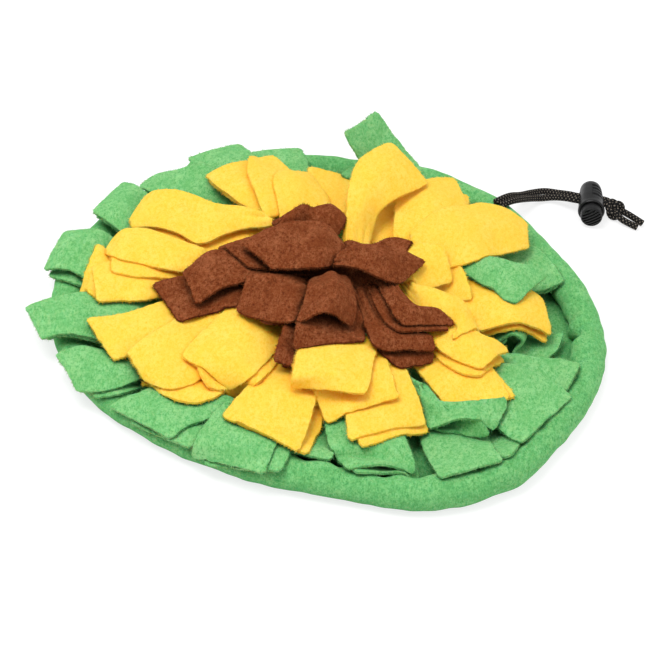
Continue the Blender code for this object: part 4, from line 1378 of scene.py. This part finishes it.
def made_fine(tail):
    """A tail with the rows and columns of the fine net."""
    tail = respaced(tail, FINE_ROWS + 1).transpose(1, 0, 2)
    return respaced(tail, FINE_COLS + 1).transpose(1, 0, 2)


def seated(edge, heights):
    """The point seen at that pixel, at that height or as much higher as what lies there
    makes it."""
    x, y, height = edge
    for _ in range(SEATINGS):
        point = np.array(seen_at(x, y, height))
        height = max(height, heights[cells(point)] + CLOTH / 2 + FINE_GAP)
    return point


def draped(name, heights):
    """The fine tail of that name in DRAPES, with its middle standing up or sagging."""
    net = []
    for row in DRAPES[name]:
        left, right = seated(row[:3], heights), seated(row[3:6], heights)
        net.append((right, (left + right) / 2 + (0, 0, row[6]), left))
    return made_fine(np.array(net))


def lower_tail(strip, net, heights):
    """The strip's fine lower tail: its own, or one that lies close under a draped upper."""
    if strip.name + "_lower" in DRAPES:
        return draped(strip.name + "_lower", heights)
    if strip.name in DRAPES:
        upper = draped(strip.name, heights)
        shown = UNDER_SHARE.get(strip.name, LOWER_SHARE)
        under = respaced(upper[:1 + int(shown * FINE_ROWS)], FINE_ROWS + 1)
        return under - normals(under) * (CLOTH + FINE_GAP)
    return made_fine(net[ROWS::-1])


def folded(lower, upper):
    """Rows that turn from the lower tail's root round to the upper one's."""
    half = (upper[0] - lower[0]) / 2
    back = unit(lower[0] - lower[1] + upper[0] - upper[1])
    depth = np.linalg.norm(half, axis=1, keepdims=True)
    steps = FOLD_STEPS * FINE_FOLD
    return [
        (upper[0] + lower[0]) / 2 - half * cos(turn) + back * depth * sin(turn)
        for turn in (pi * k / steps for k in range(1, steps))
    ]


def creased(tail, width, amount, seed, heights):
    """The tail with its creases, lying clear of what is below."""
    rise = creases(tail, width, amount, seed)[..., None]
    return lifted(tail + normals(tail) * rise, heights)


def fine_net(strip, net, heights, seed):
    """The strip's fine net with its creases, and the fine height map with it laid."""
    lower = lower_tail(strip, net, heights)
    lower = creased(lower, strip.width, DRAPED_CREASES, 2 * seed, heights)
    heights = commit(heights, outer_face(lower), FINE_TAIL, FINE_WEIGHTS, 1)
    if strip.name in DRAPES:
        upper, amount = draped(strip.name, heights), DRAPED_CREASES
    else:
        upper, amount = made_fine(net[-ROWS - 1:]), 1.0
    upper = creased(upper, strip.width, amount, 2 * seed + 1, heights)
    whole = np.concatenate([lower[::-1], folded(lower, upper), upper])
    return whole, commit(heights, outer_face(whole), FINE_WHOLE, FINE_WEIGHTS, 1)


def rounded(net):
    """The net with the corners of its two ends rounded off."""
    net = net.copy()
    for ends in (net, net[::-1]):
        middle = ends.mean(1, keepdims=True)
        far = distances(middle[:, 0])
        half = np.linalg.norm(ends[:, -1] - ends[:, 0], axis=1) / 2
        radius = min(CORNER, 0.8 * half[0])
        short = radius - np.sqrt(radius**2 - np.maximum(radius - far, 0) ** 2)
        ends[:] = middle + (ends - middle) * (1 - short / half)[:, None, None]
    return net


def ragged(net, seed):
    """The net with its cut edges a little uneven, as scissors and the nap leave them."""
    net = net.copy()
    whole = slice(None)
    for edge, inner in (
        ((whole, 0), (whole, 1)), ((whole, -1), (whole, -2)), ((0, whole), (1, whole)),
        ((-1, whole), (-2, whole)),
    ):
        wobble = sum(RAGGED * noise_at(net[edge], size, seed) for size in RAGGED_SIZES)
        net[edge] += unit(net[edge] - net[inner]) * wobble[:, None]
    return net


def loose_fibres(edge, out, half, seed):
    """Thin spikes that stand out from a loop of cut edge: their points and their faces."""
    own = np.random.default_rng(seed)
    perimeter = np.linalg.norm(np.roll(edge, -1, 0) - edge, axis=1).sum()
    count = int(perimeter * FIBRES)
    place, share = own.integers(0, len(edge), count), own.uniform(0, 1, (count, 1))
    after = (place + 1) % len(edge)
    root = edge[place] * (1 - share) + edge[after] * share
    root += half[place] * own.uniform(-0.7, 0.7, (count, 1)) - out[place] * FIBRE_ROOT
    way = unit(out[place] + own.normal(0, FIBRE_SPREAD, (count, 3)))
    side = unit(np.cross(way, FIBRE_SIDE))
    other = np.cross(way, side)
    tip = root + way * (own.uniform(*FIBRE_LENGTH, (count, 1)) + FIBRE_ROOT)
    radius = own.uniform(*FIBRE_RADIUS, (count, 1))
    corners = [root + radius * (side * cos(turn) + other * sin(turn))
               for turn in (0, tau / 3, 2 * tau / 3)]
    points = np.stack([*corners, tip], 1).reshape(-1, 3)
    first = 4 * np.arange(count)[:, None, None]
    faces = first + np.array([(2, 1, 0), (0, 1, 3), (1, 2, 3), (2, 0, 3)])
    return points, faces.reshape(-1, 3)


def build_strip(strip, net, seed):
    """A sheet of cloth on the net, with its cut edges rounded over."""
    net = ragged(rounded(net), seed)
    rows, cols = net.shape[0] - 1, net.shape[1] - 1
    count = (rows + 1) * (cols + 1)
    rim = [(i, 0) for i in range(rows)] + [(rows, j) for j in range(cols)]
    rim += [(i, cols) for i in range(rows, 0, -1)] + [(0, j) for j in range(cols, 0, -1)]
    loop = [i * (cols + 1) + j for i, j in rim]
    flat, normal = net.reshape(-1, 3), normals(net).reshape(-1, 3)
    ring = flat[loop]
    out = unit(np.cross(np.roll(ring, -1, 0) - np.roll(ring, 1, 0), normal[loop]))
    half = normal * (CLOTH / 2 + NAP)
    edge, steep = ring + out * (CLOTH / 2 + NAP), EDGE_STEEP * half[loop]
    points = np.concatenate([flat + half, flat - half, edge + steep, edge - steep])
    faces = []
    for a, b, c, d in net_cells(rows, cols):
        faces += [(a, d, c, b), (count + a, count + b, count + c, count + d)]
    for k, a in enumerate(loop):
        n = (k + 1) % len(loop)
        b, e, f = loop[n], 2 * count + k, 2 * count + n
        g, h = e + len(loop), f + len(loop)
        faces += [(b, a, e, f), (f, e, g, h), (h, g, a + count, b + count)]
    fibres, spikes = loose_fibres(edge, out, half[loop], seed)
    faces += (spikes + len(points)).tolist()
    points = np.concatenate([points, fibres])
    colour = colour_of(strip)
    name = f"fleece_{strip.name}"
    obj = mesh_object(name, points, faces, MATERIALS[colour], CUT_SHARP)
    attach(obj, "root")
    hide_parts(strip.name)


def build_strips(hem):
    """All strips: their plain nets in the order of STRIPS, and then the fine ones, some of
    which are laid later."""
    plain = plain_ground()
    fine = np.where(plain > FLOOR + 0.1, 0.0, plain)
    hem_net = net_triangles(hem.shape[0] - 1, hem.shape[1] - 1)
    fine = commit(fine, hem, hem_net, FINE_WEIGHTS, 1)
    nets = []
    for seed, strip in enumerate(STRIPS, 1):
        net, plain = strip_net(strip, plain)
        nets.append((strip, net, seed))
    turn = {strip.name: place for place, strip in enumerate(STRIPS)}
    turn.update((name, turn[other] + 0.5) for name, other in LAID_AFTER.items())
    nets.sort(key=lambda laid: turn[laid[0].name])
    for strip, net, seed in nets:
        net, fine = fine_net(strip, net, fine, seed)
        build_strip(strip, net, seed)


# Floor and light

WHITE = (1, 1, 1, 1)
FLOOR_TONE, FLOOR_GLOW = (150, 150, 150), 0.75
FLOOR_REACH, FLOOR_DROP = 3000, 0.2
SKY = 0.6
LAMPS = (
    # name, place, size, watts
    ("key", (-420, -220, 1250), 700, 13.0),
    ("fill", (700, -500, 900), 1000, 3.0),
)


def build_stage():
    """A floor that glows white, so that no shadow shows on it, a white sky and two lamps."""
    material, _, _ = new_material("floor", {
        "Roughness": 0.9, "Specular IOR Level": 0.1, "Base Color": rgba(FLOOR_TONE),
        "Emission Color": WHITE, "Emission Strength": FLOOR_GLOW,
    })
    corners = [(x * FLOOR_REACH, y * FLOOR_REACH, -FLOOR_DROP)
               for x, y in ((-1, -1), (1, -1), (1, 1), (-1, 1))]
    mesh_object("floor", corners, [(0, 1, 2, 3)], material)
    world = bpy.data.worlds.new("studio")
    world.use_nodes = True
    sky = world.node_tree.nodes["Background"]
    sky.inputs["Color"].default_value = WHITE
    sky.inputs["Strength"].default_value = SKY
    bpy.context.scene.world = world
    for name, place, size, watts in LAMPS:
        light = bpy.data.lights.new(name, "AREA")
        light.size = size * MM
        light.energy = watts
        obj = bpy.data.objects.new(name, light)
        obj.location = Vector(place) * MM
        obj.rotation_euler = (-obj.location).to_track_quat("-Z", "Y").to_euler()
        bpy.context.collection.objects.link(obj)
    bpy.context.scene.view_settings.view_transform = "Standard"


build_camera()
build_cords([build_shell(), build_button(), build_knot()])
build_strips(build_base())
build_stage()
